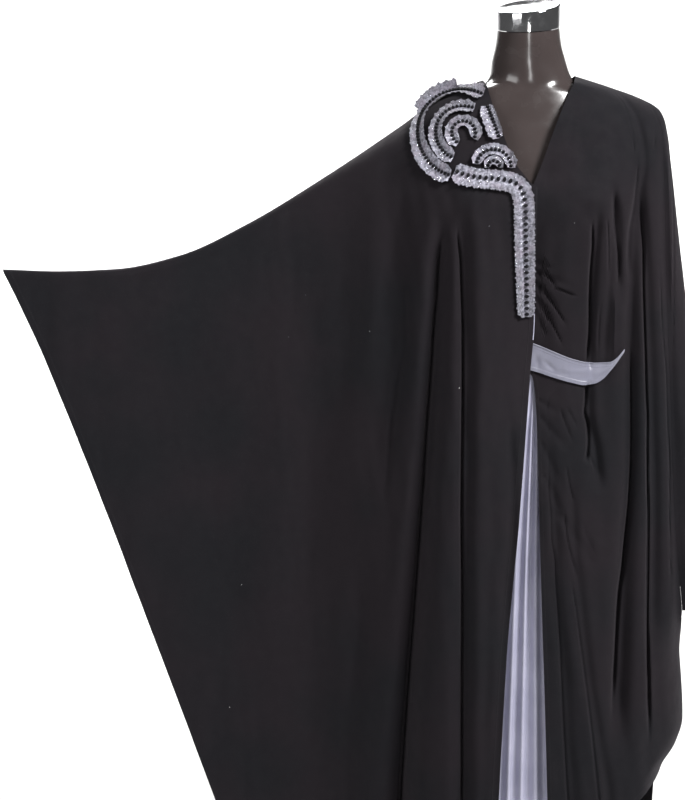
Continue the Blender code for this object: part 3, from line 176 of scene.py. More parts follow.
BACK_LINES = rows_of(
    BackLine,
    (0.02, -0.427, -0.4, -0.345, -0.25, -0.1, 0.08, 0.155, 0.216),
    (0.133, -0.464, -0.415, -0.35, -0.245, -0.1, 0.08, 0.155, 0.212),
    (0.27, -0.51, -0.442, -0.359, -0.241, -0.098, 0.08, 0.158, 0.216),
    (0.31, -0.524, -0.448, -0.361, -0.239, -0.098, 0.08, 0.16, 0.226),
    (0.345, -0.537, -0.452, -0.362, -0.238, -0.097, 0.08, 0.162, 0.249),
    (0.378, -0.548, -0.46, -0.364, -0.237, -0.097, 0.08, 0.162, 0.2585),
    (0.483, -0.586, -0.48, -0.369, -0.233, -0.096, 0.08, 0.162, 0.2515),
    (0.574, -0.618, -0.497, -0.373, -0.229, -0.095, 0.08, 0.16, 0.2425),
    (0.738, -0.676, -0.525, -0.378, -0.222, -0.092, 0.08, 0.16, 0.2265),
    (0.942, -0.753, -0.565, -0.385, -0.21, -0.09, 0.08, 0.155, 0.2155),
    (1.151, -0.848, -0.626, -0.4, -0.195, -0.09, 0.08, 0.15, 0.205),
    (1.266, -0.902, -0.66, -0.41, -0.185, -0.085, 0.08, 0.145, 0.201),
    (1.328, -0.931, -0.676, -0.416, -0.175, -0.083, 0.08, 0.14, 0.195),
    (1.354, -0.943, -0.683, -0.418, -0.172, -0.082, 0.08, 0.135, 0.186),
    (1.385, -0.958, -0.691, -0.425, -0.165, -0.081, 0.08, 0.12, 0.16),
    (1.42, -0.975, -0.7, -0.43, -0.16, -0.08, 0.08, 0.105, 0.13),
)

# Below the hanging wing's cuff the left front and the back close towards a side seam
SIDE_TOP = 0.570
SIDE_FADE = 0.090
SIDE_RADIUS = 0.050

# Hems
RIGHT_HEM = rows_of(
    Place,
    (-0.47, 0.16), (-0.458, 0.115), (-0.44, 0.088), (-0.4, 0.065), (-0.3, 0.045), (-0.15, 0.036),
    (0, 0.034),
)
LEFT_HEM = rows_of(
    Place,
    (0.02, 0.034), (0.06, 0.085), (0.1, 0.175), (0.14, 0.248), (0.175, 0.283), (0.209, 0.3), (0.232, 0.316),
    (0.249, 0.338), (0.2585, 0.37),
)
BACK_HEM = rows_of(
    Place,
    (-0.47, 0.16), (-0.458, 0.118), (-0.44, 0.092), (-0.4, 0.068), (-0.3, 0.045), (-0.15, 0.032), (0, 0.03),
    (0.216, 0.034),
)

# The wing that hangs at the left: where its top edge leaves the shoulder, its tip, and its open cuff
WING_TOP = Place(0.202, 1.3515)
WING_TIP = Place(0.314, 0.583)
CUFF_INNER = 0.565

# Depths in front of the middle plane, or behind it; each column is at the x of the same place in *_AT
RIGHT_AT = [0.00, -0.05, -0.10, -0.16, -0.23, -0.32, -0.45, -0.65, -0.90]
RightDepth = namedtuple("RightDepth", "height centre inner bust side root wing_a wing_b wing_c tip")
RIGHT_DEPTHS = rows_of(
    RightDepth,
    (0.03, 0.205, 0.203, 0.197, 0.166, 0.112, 0.06, 0.026, 0.013, 0.007),
    (0.35, 0.182, 0.184, 0.182, 0.156, 0.105, 0.056, 0.024, 0.013, 0.007),
    (0.5, 0.17, 0.175, 0.176, 0.151, 0.101, 0.054, 0.023, 0.013, 0.007),
    (0.65, 0.156, 0.166, 0.171, 0.147, 0.098, 0.052, 0.023, 0.012, 0.007),
    (0.78, 0.14, 0.157, 0.166, 0.143, 0.095, 0.05, 0.022, 0.012, 0.007),
    (0.88, 0.124, 0.15, 0.163, 0.139, 0.092, 0.048, 0.022, 0.012, 0.007),
    (0.96, 0.115, 0.146, 0.16, 0.135, 0.089, 0.046, 0.022, 0.012, 0.007),
    (1.05, 0.123, 0.147, 0.157, 0.13, 0.085, 0.043, 0.021, 0.012, 0.007),
    (1.15, 0.1375, 0.149, 0.152, 0.124, 0.079, 0.04, 0.02, 0.012, 0.007),
    (1.21, 0.1435, 0.149, 0.147, 0.117, 0.073, 0.037, 0.019, 0.012, 0.007),
    (1.26, 0.131, 0.134, 0.128, 0.103, 0.064, 0.033, 0.018, 0.011, 0.007),
    (1.33, 0.109, 0.108, 0.104, 0.09, 0.056, 0.03, 0.018, 0.011, 0.007),
    (1.4, 0.088, 0.088, 0.088, 0.08, 0.052, 0.029, 0.018, 0.011, 0.007),
)
LEFT_AT = [0.00, 0.05, 0.10, 0.165, 0.215, 0.30]
LeftDepth = namedtuple("LeftDepth", "height centre inner bust ridge seam sleeve")
LEFT_DEPTHS = rows_of(
    LeftDepth,
    (0.03, 0.184, 0.186, 0.18, 0.152, 0.112, 0.055), (0.35, 0.167, 0.172, 0.167, 0.142, 0.106, 0.055),
    (0.5, 0.154, 0.161, 0.156, 0.133, 0.1, 0.055), (0.65, 0.14, 0.148, 0.143, 0.124, 0.096, 0.056),
    (0.78, 0.125, 0.132, 0.128, 0.116, 0.092, 0.058), (0.88, 0.113, 0.117, 0.111, 0.11, 0.089, 0.06),
    (0.96, 0.1065, 0.108, 0.1, 0.106, 0.086, 0.06), (1.05, 0.115, 0.118, 0.109, 0.104, 0.083, 0.06),
    (1.15, 0.13, 0.136, 0.13, 0.103, 0.08, 0.06), (1.21, 0.136, 0.143, 0.138, 0.101, 0.077, 0.06),
    (1.26, 0.122, 0.128, 0.123, 0.095, 0.073, 0.058), (1.33, 0.102, 0.102, 0.1, 0.084, 0.068, 0.056),
    (1.4, 0.086, 0.086, 0.086, 0.075, 0.064, 0.054),
)
BACK_AT = [-0.90, -0.65, -0.45, -0.32, -0.23, -0.15, -0.07, 0.00, 0.07, 0.15, 0.215, 0.30]
BackDepth = namedtuple(
    "BackDepth",
    "height tip wing_c wing_b wing_a root side_r blade_r centre blade_l side_l seam sleeve",
)
BACK_DEPTHS = rows_of(
    BackDepth,
    (0.03, 0.007, 0.012, 0.024, 0.06, 0.118, 0.165, 0.19, 0.198, 0.192, 0.168, 0.132, 0.07),
    (0.3, 0.007, 0.012, 0.024, 0.056, 0.11, 0.155, 0.177, 0.183, 0.178, 0.156, 0.122, 0.07),
    (0.6, 0.007, 0.012, 0.023, 0.051, 0.101, 0.144, 0.162, 0.165, 0.162, 0.142, 0.108, 0.068),
    (0.8, 0.007, 0.012, 0.022, 0.047, 0.093, 0.136, 0.151, 0.152, 0.151, 0.134, 0.1, 0.066),
    (0.95, 0.007, 0.012, 0.022, 0.042, 0.084, 0.125, 0.138, 0.137, 0.138, 0.124, 0.094, 0.064),
    (1.15, 0.007, 0.012, 0.02, 0.036, 0.072, 0.113, 0.124, 0.121, 0.124, 0.113, 0.087, 0.062),
    (1.27, 0.007, 0.011, 0.018, 0.031, 0.062, 0.104, 0.115, 0.112, 0.115, 0.104, 0.08, 0.06),
    (1.33, 0.007, 0.011, 0.018, 0.029, 0.055, 0.096, 0.107, 0.106, 0.107, 0.096, 0.074, 0.058),
    (1.4, 0.007, 0.011, 0.018, 0.028, 0.05, 0.08, 0.09, 0.092, 0.09, 0.078, 0.066, 0.056),
)

# Folds: troughs along a line of (height, x), first the solids' broad ones; a ridge has a negative depth
Fold = namedtuple("Fold", "line top bottom fade wide_top wide_bottom deep_top deep_bottom")
RIGHT_FOLDS = rows_of(
    Fold,
    (((0.02, -0.21), (0.28, -0.201), (0.6, -0.179), (0.91, -0.158), (1.25, -0.139)), 1.215, -0.3, 0.11,
     0.013, 0.024, 0.022, 0.04),
    (((0.02, -0.108), (0.28, -0.108), (0.6, -0.107), (0.91, -0.105), (1.03, -0.108), (1.25, -0.117)),
     1.225, -0.3, 0.1, 0.011, 0.015, 0.014, 0.022),
    (((0.5, -0.262), (0.88, -0.225), (0.98, -0.214), (1.1, -0.21), (1.3, -0.19)), 1.29, 0.72, 0.16, 0.02,
     0.03, 0.011, 0.011),
    (((0.3, -0.052), (0.58, -0.04), (0.73, -0.033), (0.9, -0.04)), 0.93, 0.45, 0.12, 0.008, 0.01, 0.009,
     0.007),
    (((0.02, -0.33), (0.6, -0.345), (1, -0.33), (1.25, -0.27)), 1.2, -0.3, 0.2, 0.04, 0.05, 0.005, 0.011),
    (((0.02, -0.385), (0.6, -0.485), (1.15, -0.56)), 1.08, -0.3, 0.25, 0.05, 0.045, 0.003, 0.005),
    (((0.02, -0.208), (0.28, -0.2), (0.6, -0.18), (0.75, -0.1704), (0.875, -0.1634), (0.953, -0.1576),
     (1.03, -0.1534), (1.076, -0.1491), (1.114, -0.1478), (1.148, -0.1438)), 1.165, -0.3, 0.06, 0.0026,
     0.004, 0.015, 0.023),
    (((0.02, -0.108), (0.6, -0.11), (0.757, -0.1126), (0.911, -0.112), (1.032, -0.1125), (1.077, -0.1142),
     (1.123, -0.1159), (1.159, -0.1207)), 1.172, -0.3, 0.04, 0.002, 0.0027, 0.013, 0.02),
    (((0.72, -0.232), (0.873, -0.2153), (0.92, -0.2108), (0.967, -0.2034), (0.998, -0.1975),
     (1.06, -0.1976), (1.118, -0.1991)), 1.13, 0.74, 0.08, 0.0062, 0.005, 0.0034, 0.0064),
)
LEFT_FOLDS = rows_of(
    Fold,
    (((0.3, 0.136), (0.42, 0.137), (0.65, 0.143), (0.78, 0.15), (1.15, 0.152), (1.21, 0.158),
     (1.27, 0.167)), 1.29, 0.33, 0.12, 0.012, 0.016, 0.018, 0.026),
    (((1.21, 0.158), (1.266, 0.168), (1.328, 0.16), (1.354, 0.15), (1.385, 0.128)), 1.45, 1.2, 0.05, 0.006,
     0.006, 0.004, 0.004),
    (((0.42, 0.19), (0.55, 0.192), (0.71, 0.192), (0.9, 0.185), (1.06, 0.176), (1.21, 0.164)), 1.25, 0.48,
     0.1, 0.009, 0.012, 0.01, 0.015),
    (((0.42, 0.246), (0.58, 0.238), (0.77, 0.224), (1.01, 0.213), (1.13, 0.205), (1.32, 0.198)), 1.345,
     0.46, 0.1, 0.01, 0.013, 0.009, 0.015),
    (((0.98, 0.087), (1.09, 0.088), (1.18, 0.092)), 1.215, 0.93, 0.06, 0.007, 0.007, 0.009, 0.009),
    (((1.08, 0.13), (1.15, 0.127), (1.22, 0.118)), 1.25, 1.04, 0.05, 0.008, 0.008, 0.01, 0.011),
    (((0.98, 0.11), (1.12, 0.116), (1.2, 0.114)), 1.215, 0.95, 0.05, 0.006, 0.006, 0.006, 0.005),
    (((0.78, 0.101), (0.83, 0.096), (0.89, 0.086), (0.93, 0.088)), 0.945, 0.76, 0.04, 0.007, 0.009, 0.01,
     0.012),
    (((0.02, 0.072), (0.28, 0.061), (0.44, 0.051), (0.6, 0.038), (0.73, 0.032), (0.84, 0.025)), 0.88, -0.1,
     0.1, 0.007, 0.011, 0.004, 0.008),
    (((0.02, 0.13), (0.28, 0.12), (0.35, 0.11), (0.475, 0.088), (0.66, 0.066), (0.79, 0.057)), 0.83, -0.1,
     0.1, 0.007, 0.011, 0.004, 0.01),
    (((0.964, 0.0821), (0.982, 0.0838), (1.013, 0.0862), (1.06, 0.0843), (1.107, 0.0835), (1.145, 0.0847),
     (1.18, 0.0828)), 1.188, 0.95, 0.03, 0.0026, 0.0024, 0.01, 0.008),
    (((1.11, 0.1113), (1.152, 0.1092), (1.186, 0.1061)), 1.19, 1.095, 0.02, 0.0018, 0.0018, 0.0036, 0.003),
    (((1.094, 0.129), (1.124, 0.1278), (1.152, 0.1233), (1.19, 0.1187), (1.234, 0.1173)), 1.24, 1.075,
     0.04, 0.004, 0.0028, 0.0055, 0.0064),
    (((1.09, 0.1476), (1.129, 0.1442), (1.159, 0.145), (1.197, 0.1509), (1.235, 0.1545), (1.276, 0.1571)),
     1.29, 1.085, 0.05, 0.002, 0.0052, 0.0036, 0.0085),
    (((0.4, 0.186), (0.561, 0.1816), (0.718, 0.1813), (0.796, 0.1785), (0.874, 0.178), (0.92, 0.1757),
     (0.982, 0.1734), (1.028, 0.1713), (1.09, 0.169), (1.136, 0.1686), (1.174, 0.1652), (1.218, 0.161)),
     1.226, 0.36, 0.08, 0.0022, 0.003, 0.007, 0.015),
    (((0.36, 0.122), (0.463, 0.1285), (0.562, 0.133), (0.609, 0.1362), (0.639, 0.1412), (0.686, 0.146),
     (0.748, 0.152), (0.795, 0.1545), (0.842, 0.1555), (0.927, 0.1545), (0.989, 0.151)), 0.998, 0.4, 0.08,
     0.0026, 0.0036, 0.0085, 0.016),
    (((0.588, 0.2207), (0.651, 0.22), (0.714, 0.2176), (0.792, 0.2169), (0.871, 0.2119), (0.934, 0.2092),
     (1.012, 0.2005), (1.074, 0.1961), (1.142, 0.1916)), 1.15, 0.56, 0.08, 0.0018, 0.002, 0.003, 0.0046),
    (((1.295, 0.1835), (1.328, 0.1863)), 1.336, 1.284, 0.015, 0.0022, 0.0022, 0.0024, 0.0024),
    (((1.288, 0.1507), (1.319, 0.1482), (1.339, 0.1432), (1.357, 0.1391), (1.37, 0.1316), (1.378, 0.1236)),
     1.384, 1.28, 0.012, 0.0015, 0.0015, 0.0018, 0.0018),
    (((0.967, 0.1249), (1.014, 0.1238), (1.069, 0.1226)), 1.075, 0.96, 0.02, 0.0024, 0.0024, -0.0022,
     -0.0022),
    (((0.973, 0.1004), (1.006, 0.0995), (1.032, 0.1001), (1.057, 0.1023)), 1.062, 0.968, 0.03, 0.0022,
     0.0022, 0.002, 0.0018),
    (((0.818, 0.0828), (0.845, 0.085), (0.867, 0.0841), (0.887, 0.0791), (0.905, 0.081), (0.927, 0.0822)),
     0.937, 0.808, 0.012, 0.0028, 0.0036, 0.01, 0.013),
    (((0.2, 0.06), (0.4, 0.047), (0.569, 0.0385), (0.631, 0.0337), (0.661, 0.0321), (0.692, 0.0274),
     (0.73, 0.0259), (0.768, 0.0231), (0.814, 0.0233), (0.848, 0.0198)), 0.856, 0.06, 0.1, 0.0019, 0.0032,
     0.0024, 0.0056),
    (((0.2, 0.112), (0.4, 0.09), (0.567, 0.0674), (0.601, 0.0625), (0.638, 0.0561)), 0.642, 0.1, 0.04,
     0.0022, 0.0034, 0.0034, 0.005),
    (((0.636, 0.0675), (0.654, 0.061), (0.678, 0.0546), (0.701, 0.05), (0.734, 0.0471)), 0.742, 0.628,
     0.025, 0.0018, 0.0024, 0.0028, 0.0044),
    (((0.751, 0.0611), (0.777, 0.0548), (0.803, 0.05)), 0.81, 0.745, 0.018, 0.0017, 0.0017, 0.0026, 0.0026),
)
BACK_FOLDS = rows_of(
    Fold,
    (((0.02, -0.215), (0.6, -0.19), (1.1, -0.15)), 1.18, -0.3, 0.2, 0.016, 0.026, 0.016, 0.038),
    (((0.02, -0.105), (0.6, -0.095), (1.1, -0.085)), 1.12, -0.3, 0.25, 0.014, 0.022, 0.01, 0.026),
    (((0.02, 0.012), (0.6, 0.008), (1, 0.004)), 1.05, -0.3, 0.3, 0.014, 0.022, 0.006, 0.02),
    (((0.02, 0.108), (0.6, 0.1), (1.1, 0.09)), 1.14, -0.3, 0.25, 0.014, 0.022, 0.01, 0.028),
    (((0.02, 0.18), (0.6, 0.172), (1.1, 0.155)), 1.2, -0.3, 0.2, 0.012, 0.018, 0.014, 0.026),
    (((0.02, -0.32), (0.6, -0.34), (1.1, -0.3)), 1.14, -0.3, 0.2, 0.035, 0.045, 0.006, 0.012),
)

# Gathers: short creases that fan out from the centre-front seam of the left front
Gather = namedtuple("Gather", "x0 z0 x1 z1 wide deep")
GATHERS = rows_of(
    Gather,
    (-0.004, 1.12, 0.03, 1.108, 0.0045, 0.0026), (-0.004, 1.104, 0.064, 1.078, 0.005, 0.0042),
    (-0.004, 1.088, 0.05, 1.034, 0.005, 0.0044), (-0.004, 1.07, 0.04, 1.002, 0.0048, 0.0036),
    (-0.004, 1.052, 0.018, 0.998, 0.0045, 0.003), (0.008, 0.905, 0.052, 0.878, 0.005, 0.003),
    (0.01, 0.88, 0.06, 0.822, 0.0055, 0.004), (0.012, 0.84, 0.048, 0.764, 0.0055, 0.0036),
    (0.016, 0.79, 0.062, 0.69, 0.006, 0.0036), (0.04, 0.73, 0.104, 0.64, 0.007, 0.0036),
)
GATHER_SHARE = 0.5

# Small creases: from one end to the other, bowed sideways; a ridge has a negative depth
Crease = namedtuple("Crease", "x0 z0 x1 z1 bow wide deep")
RIGHT_CREASES = rows_of(
    Crease,
    (-0.128, 1.2, -0.17, 0.7, 0.004, 0.006, -0.003), (-0.124, 1.232, -0.128, 1.15, 0.002, 0.011, 0.004),
    (-0.06, 0.86, -0.076, 0.2, 0.004, 0.01, 0.003), (-0.036, 0.8, -0.066, 0.06, 0.003, 0.008, 0.004),
    (-0.25, 0.7, -0.29, 0.12, 0.01, 0.016, 0.005), (-0.155, 1.33, -0.26, 1.215, 0.006, 0.012, 0.003),
    (-0.18, 1.29, -0.43, 1.03, 0.02, 0.022, 0.004), (-0.24, 1.26, -0.62, 1.01, 0.02, 0.026, 0.0035),
    (-0.4, 1.15, -0.7, 1.04, 0.01, 0.02, 0.0025), (-0.3, 1, -0.36, 0.5, 0.012, 0.026, 0.004),
    (-0.42, 0.95, -0.48, 0.4, 0.01, 0.03, 0.0035),
)
LEFT_CREASES = rows_of(
    Crease,
    (0.006, 1.113, 0.032, 1.077, -0.0015, 0.0018, 0.0056), (0.024, 1.082, 0.066, 1.065, 0, 0.0016, 0.0046),
    (0.009, 1.085, 0.054, 1.015, 0.001, 0.0018, 0.0052), (0.01, 1.057, 0.023, 1.022, 0, 0.0014, 0.0042),
    (0.013, 1.058, 0.049, 0.982, 0.0015, 0.0016, 0.0044), (0.008, 1.029, 0.021, 1.003, 0, 0.0013, 0.003),
    (0.008, 1.122, 0.024, 1.107, 0, 0.0015, 0.002), (0.039, 0.898, 0.062, 0.838, 0.001, 0.002, 0.0026),
    (0.05, 0.897, 0.068, 0.863, 0, 0.0018, 0.0022), (0.087, 0.823, 0.098, 0.796, 0.001, 0.0026, 0.0036),
    (0.074, 0.715, 0.099, 0.67, 0.0015, 0.0017, 0.0022), (0.06, 1.34, 0.12, 1.2, 0.01, 0.018, 0.0016),
    (0.02, 1.24, 0.11, 1.14, -0.008, 0.012, 0.0014), (0.226, 0.9, 0.262, 0.6, 0.004, 0.008, 0.0024),
)
BACK_CREASES = rows_of(
    Crease,
    (-0.152, 1.15, -0.214, 0.04, 0.004, 0.0046, 0.009), (-0.086, 1.08, -0.106, 0.04, -0.003, 0.0044, 0.007),
    (0.006, 1.02, 0.012, 0.04, 0.003, 0.0044, 0.006), (0.092, 1.11, 0.108, 0.04, -0.003, 0.0044, 0.007),
    (0.158, 1.16, 0.18, 0.04, 0.003, 0.0042, 0.008), (-0.1, 1.36, -0.17, 1.18, 0.012, 0.014, 0.004),
    (0.1, 1.36, 0.16, 1.18, -0.01, 0.013, 0.0036), (-0.18, 1.3, -0.46, 1, 0.024, 0.026, 0.0045),
    (-0.26, 1.24, -0.64, 1, 0.02, 0.028, 0.0035), (-0.3, 0.98, -0.35, 0.3, 0.012, 0.026, 0.006),
    (-0.43, 0.92, -0.47, 0.26, 0.01, 0.03, 0.0045), (0.05, 0.9, 0.062, 0.24, 0.004, 0.008, 0.003),
    (-0.05, 0.86, -0.046, 0.2, 0.004, 0.008, 0.003), (0.206, 1.15, 0.238, 0.6, -0.003, 0.006, 0.004),
)

# Satin inset behind the slit, pleated from under the belt to the hem
InsetRow = namedtuple("InsetRow", "height left right depth pleat")
INSET_ROWS = rows_of(
    InsetRow,
    (0.034, -0.09, 0.056, 0.162, 0.007), (0.35, -0.08, 0.05, 0.147, 0.006),
    (0.5, -0.07, 0.044, 0.135, 0.0055), (0.65, -0.059, 0.038, 0.1225, 0.0048),
    (0.78, -0.042, 0.03, 0.113, 0.0036), (0.88, -0.026, 0.022, 0.1055, 0.002),
    (0.925, -0.017, 0.019, 0.1025, 0.0008), (0.955, -0.012, 0.018, 0.1043, 0),
)
INSET_PLEATS = 6
INSET_UNEVEN = 0.010
INSET_SHARPNESS = 0.8
INSET_GRID = (110, 132)

# Belt, laid on the left front and tapering to a tie that goes into the side fold
BeltRow = namedtuple("BeltRow", "x top bottom")
BELT_ROWS = rows_of(
    BeltRow,
    (-0.005, 0.994, 0.952), (0.006, 0.99, 0.949), (0.03, 0.98, 0.941), (0.055, 0.97, 0.934),
    (0.08, 0.9635, 0.929), (0.095, 0.962, 0.931), (0.108, 0.9625, 0.9385), (0.118, 0.9635, 0.95),
    (0.126, 0.968, 0.96), (0.134, 0.976, 0.9715), (0.14, 0.983, 0.9795),
)
BELT_WALL = 0.0022
BELT_GRID = (110, 18)
BELT_CROWN = 0.0008
PIPING_RADIUS = 0.0009
Pucker = namedtuple("Pucker", "s t wide_s wide_t slant deep")
BELT_PUCKERS = [
    Pucker(0.06, 0.42, 0.035, 0.22, 0.0, 0.0022),
    Pucker(0.20, 0.40, 0.050, 0.10, -1.2, 0.0019),
    Pucker(0.33, 0.30, 0.060, 0.12, 1.4, 0.0011),
    Pucker(0.50, 0.55, 0.160, 0.10, 0.9, -0.0009),
    Pucker(0.62, 0.35, 0.080, 0.16, 0.5, 0.0010),
    Pucker(0.80, 0.50, 0.100, 0.14, 0.4, -0.0007),
]
BELT_REACH = 0.004
# A pale cord along the right front's centre edge: a painted highlight, standing in for the light on the
# folded edge
HIGHLIGHT_CORD_TOP = 1.040
HIGHLIGHT_CORD_BOTTOM = 1.000
HIGHLIGHT_CORD_RADIUS = 0.0008
CORD_SIDES = 8

# Ruffles of gathered ribbon, in front view: a centre line, and how far each side reaches
RUFFLE_PITCH = 0.0093
RUFFLE_LIFT = 0.0003
STEPS_IN_HALF = 10
RUFFLE_ACROSS = 13
RIBBON_SHELL = 0.0006
RIBBON_BOWL = 0.75
SETTLE = 0.0008
FRILL_RISE = 0.0045
FRILL_WAVE = 0.0015
FRILL_UNEVEN = 0.35
SCALLOP = 0.045
SCALLOP_UNEVEN = 0.035
CRIMP = 0.00022
CRIMPS_IN_WAVE = 3.5
END_TUCK = 0.35
END_REACH = 0.008
CLEAR_OF_EDGE = 0.002
Arc = namedtuple("Arc", "name x z radius start end outer inner")
ROSETTE_ARCS = [
    Arc("ruffle_petal_outer", -0.110, 1.313, 0.067, 62, 252, 0.015, 0.0135),
    Arc("ruffle_petal_middle", -0.110, 1.313, 0.0405, 66, 246, 0.012, 0.012),
    Arc("ruffle_petal_inner", -0.110, 1.313, 0.0175, -30, 240, 0.010, 0.009),
    Arc("ruffle_petal_right", -0.0665, 1.2625, 0.0255, -5, 172, 0.0095, 0.0085),
    Arc("ruffle_heart", -0.0665, 1.2625, 0.0085, -10, 190, 0.0075, 0.006),
]
NECK_RUFFLE = rows_of(
    Place,
    (-0.0735, 1.354), (-0.0685, 1.339), (-0.0637, 1.3245), (-0.0575, 1.3055),
)
PLACKET_RUFFLE = rows_of(
    Place,
    (-0.124, 1.256), (-0.105, 1.249), (-0.085, 1.2455), (-0.065, 1.244), (-0.048, 1.242), (-0.034, 1.237),
    (-0.0235, 1.224), (-0.02, 1.202), (-0.019, 1.15), (-0.0175, 1.1), (-0.0165, 1.05), (-0.016, 1.036),
)

# Close grids: columns between two lines of a panel, and rows from its top edge to its hem
RIGHT_COLUMNS = {"centre": 50, "fold_b": 34, "fold_a": 34, "fold_c": 26, "wing_in": 26, "wing_out": 24}
LEFT_COLUMNS = {"centre": 76, "side": 34, "valley": 22, "fold_e": 20}
BACK_COLUMNS = {
    "edge": 20, "wing_out": 20, "wing_in": 24, "side_r": 26, "blade_r": 56, "blade_l": 22, "side_l": 20,
}
CLOSER_AT_LINES = 0.6
RIGHT_ROWS = 200
LEFT_ROWS = 300
BACK_ROWS = 170
EVEN_ROWS = [(0.0, 0.0), (1.0, 1.0)]
LEFT_ROW_SPREAD = [(0.0, 0.0), (0.13, 0.08), (0.42, 0.23), (0.72, 0.50), (1.0, 1.0)]
ARCH_ROWS = 13
WING_COLUMNS = 26
WING_CLOSER = 1.4
WING_HEAD = 0.03
LINE_STEP = 1e-4
NORMAL_REACH = 0.009
PROBE_SHARE = 0.4
LEAST_SPREAD = 0.4

# Soft unevenness of hanging cloth: seeded waves that run mostly down the cloth
RIPPLE_SEED = 11
RIPPLE_COUNT = 26
RIPPLE_SHORTEST = 0.022
RIPPLE_LONGEST = 0.110
RIPPLE_HEIGHT = 0.00042
RIPPLE_SLANT = 0.45

# Beads strung along the ruffles' middles, and the small crystals on the cloth, as (height, reach) shares
Beads = namedtuple("Beads", "pitch radius")
ROSETTE_BEADS = Beads(0.0060, 0.0031)
PLACKET_BEADS = Beads(0.0091, 0.0037)
Sweep = namedtuple("Sweep", "name points outer inner settle beads")
RUFFLE_SWEEPS = [
    Sweep("ruffle_neck", NECK_RUFFLE, 0.008, 0.015, SETTLE, ROSETTE_BEADS),
    Sweep("ruffle_placket", PLACKET_RUFFLE, 0.0135, 0.0180, 0.0020, PLACKET_BEADS),
]
BEAD_LIFT = 0.80
BEAD_SIDES = 10
BEAD_PROFILE = [(-0.680, 0.42), (-0.323, 0.94), (0.0, 1.0), (0.323, 0.94), (0.680, 0.42)]
CRYSTAL_REACH = 0.0005
CRYSTAL_RADIUS = 0.0010
CRYSTAL_SIDES = 8
CRYSTAL_PROFILE = [(0.05, 1.0), (0.35, 0.95), (0.75, 0.55)]
CRYSTALS_RIGHT = rows_of(
    Place,
    (-0.0737, 1.1744), (-0.3526, 1.0632), (-0.3795, 0.9969), (-0.2525, 1.0097), (-0.4563, 0.5978),
    (-0.4769, 0.397), (-0.1169, 0.9294),
)
CRYSTALS_LEFT = rows_of(Place, (0.0554, 1.1786))

# Satin colours: light, dark, and the painted sheen streaks. The belt's are the same satin painted darker:
# painted shade for the stronger light it catches.
INSET_SATIN = [(0.36, 0.355, 0.455), (0.42, 0.415, 0.515), (0.27, 0.27, 0.37)]
BELT_PAINTED_SHADE_SATIN = [(0.165, 0.165, 0.21), (0.20, 0.20, 0.245), (0.13, 0.13, 0.18)]

# Camera, lights and floor
CAMERA_PLACE = (-0.2945, -3.0, 1.25)
CAMERA_PITCH = 6.786
CAMERA_LENS = 84.97
CAMERA_SENSOR = 36.0
WORLD_COLOUR = (0.96, 0.96, 0.965, 1.0)
WORLD_STRENGTH = 0.09
FLOOR = 9.0
WALL_Y = 7.2
WALL_BEND = 1.8
WALL_HEIGHT = 2.9
Lamp = namedtuple("Lamp", "name place aim size power")
LIGHTS = [
    Lamp("key_right", (1.9, -2.0, 3.4), (0.0, 0.0, 2.1), (1.1, 0.9), 252.0),
    Lamp("fill_left", (-2.5, -2.2, 2.9), (-0.4, 0.0, 2.0), (2.0, 1.6), 62.0),
    Lamp("neck_strip", (-0.16, -3.4, 1.50), (0.0, 0.0, 1.42), (0.30, 0.7), 12.0),
    Lamp("wall_left", (-2.1, 5.0, 3.4), (-1.8, 7.2, 0.9), (2.6, 0.6), 125.0),
    Lamp("wall_right", (2.1, 5.0, 3.4), (1.8, 7.2, 0.9), (2.6, 0.6), 125.0),
    Lamp("floor_wash", (-0.9, 2.7, 3.4), (-0.9, 2.1, 0.0), (3.2, 1.8), 196.0),
]

def smooth(t):
    t = np.clip(t, 0.0, 1.0)
    return t * t * (3 - 2 * t)


def cubic(u, step, start, end, start_slope, end_slope):
    """The value a share u along a step, between two values with given slopes."""
    first = (1 + 2 * u) * (1 - u) ** 2 * start + u * (1 - u) ** 2 * step * start_slope
    return first + (u * u * (3 - 2 * u) * end + u * u * (u - 1) * step * end_slope)


def curve(xs, ys):
    """A smooth curve through points in rising order, level outside them, with no overshoot."""
    xs, ys = np.array(xs, float), np.array(ys, float)
    step = np.diff(xs)
    slopes = np.diff(ys) / step
    tangent = np.concatenate([slopes[:1], np.zeros(len(xs) - 2), slopes[-1:]])
    for i in range(1, len(xs) - 1):
        if slopes[i - 1] * slopes[i] > 0:
            near, far = 2 * step[i] + step[i - 1], step[i] + 2 * step[i - 1]
            tangent[i] = (near + far) / (near / slopes[i - 1] + far / slopes[i])

    def at(x):
        x = np.clip(np.asarray(x, float), xs[0], xs[-1])
        i = np.clip(np.searchsorted(xs, x, side="right") - 1, 0, len(xs) - 2)
        return cubic((x - xs[i]) / step[i], step[i], ys[i], ys[i + 1], tangent[i], tangent[i + 1])

    return at


def table(given):
    """One curve for each of a table's columns but its first, over that first column."""
    first, *others = zip(*given)
    return {name: curve(first, column) for name, column in zip(given[0]._fields[1:], others)}


def slope(line, x):
    return (line(x + LINE_STEP) - line(x - LINE_STEP)) / (2 * LINE_STEP)


def unit(ways):
    return ways / np.linalg.norm(ways, axis=-1, keepdims=True)


def turns(count):
    """Angles once round."""
    return 2 * np.pi * np.arange(count) / count


def across(places, values, x):
    """A smooth curve over fixed places whose values are arrays, such as a section at many heights."""
    order = np.argsort(places)
    places = [places[i] for i in order]
    values = [values[i] for i in order]
    x = np.clip(x, places[0], places[-1])
    last = len(places) - 1
    slopes = []
    for i in range(last + 1):
        before, after = max(i - 1, 0), min(i + 1, last)
        slopes.append((values[after] - values[before]) / (places[after] - places[before]))
    out = np.zeros_like(x)
    for i in range(last):
        step = places[i + 1] - places[i]
        u = (x - places[i]) / step
        inside = (u >= 0) & ((u < 1) | (i == last - 1))
        out = np.where(inside, cubic(u, step, values[i], values[i + 1], slopes[i], slopes[i + 1]), out)
    return out


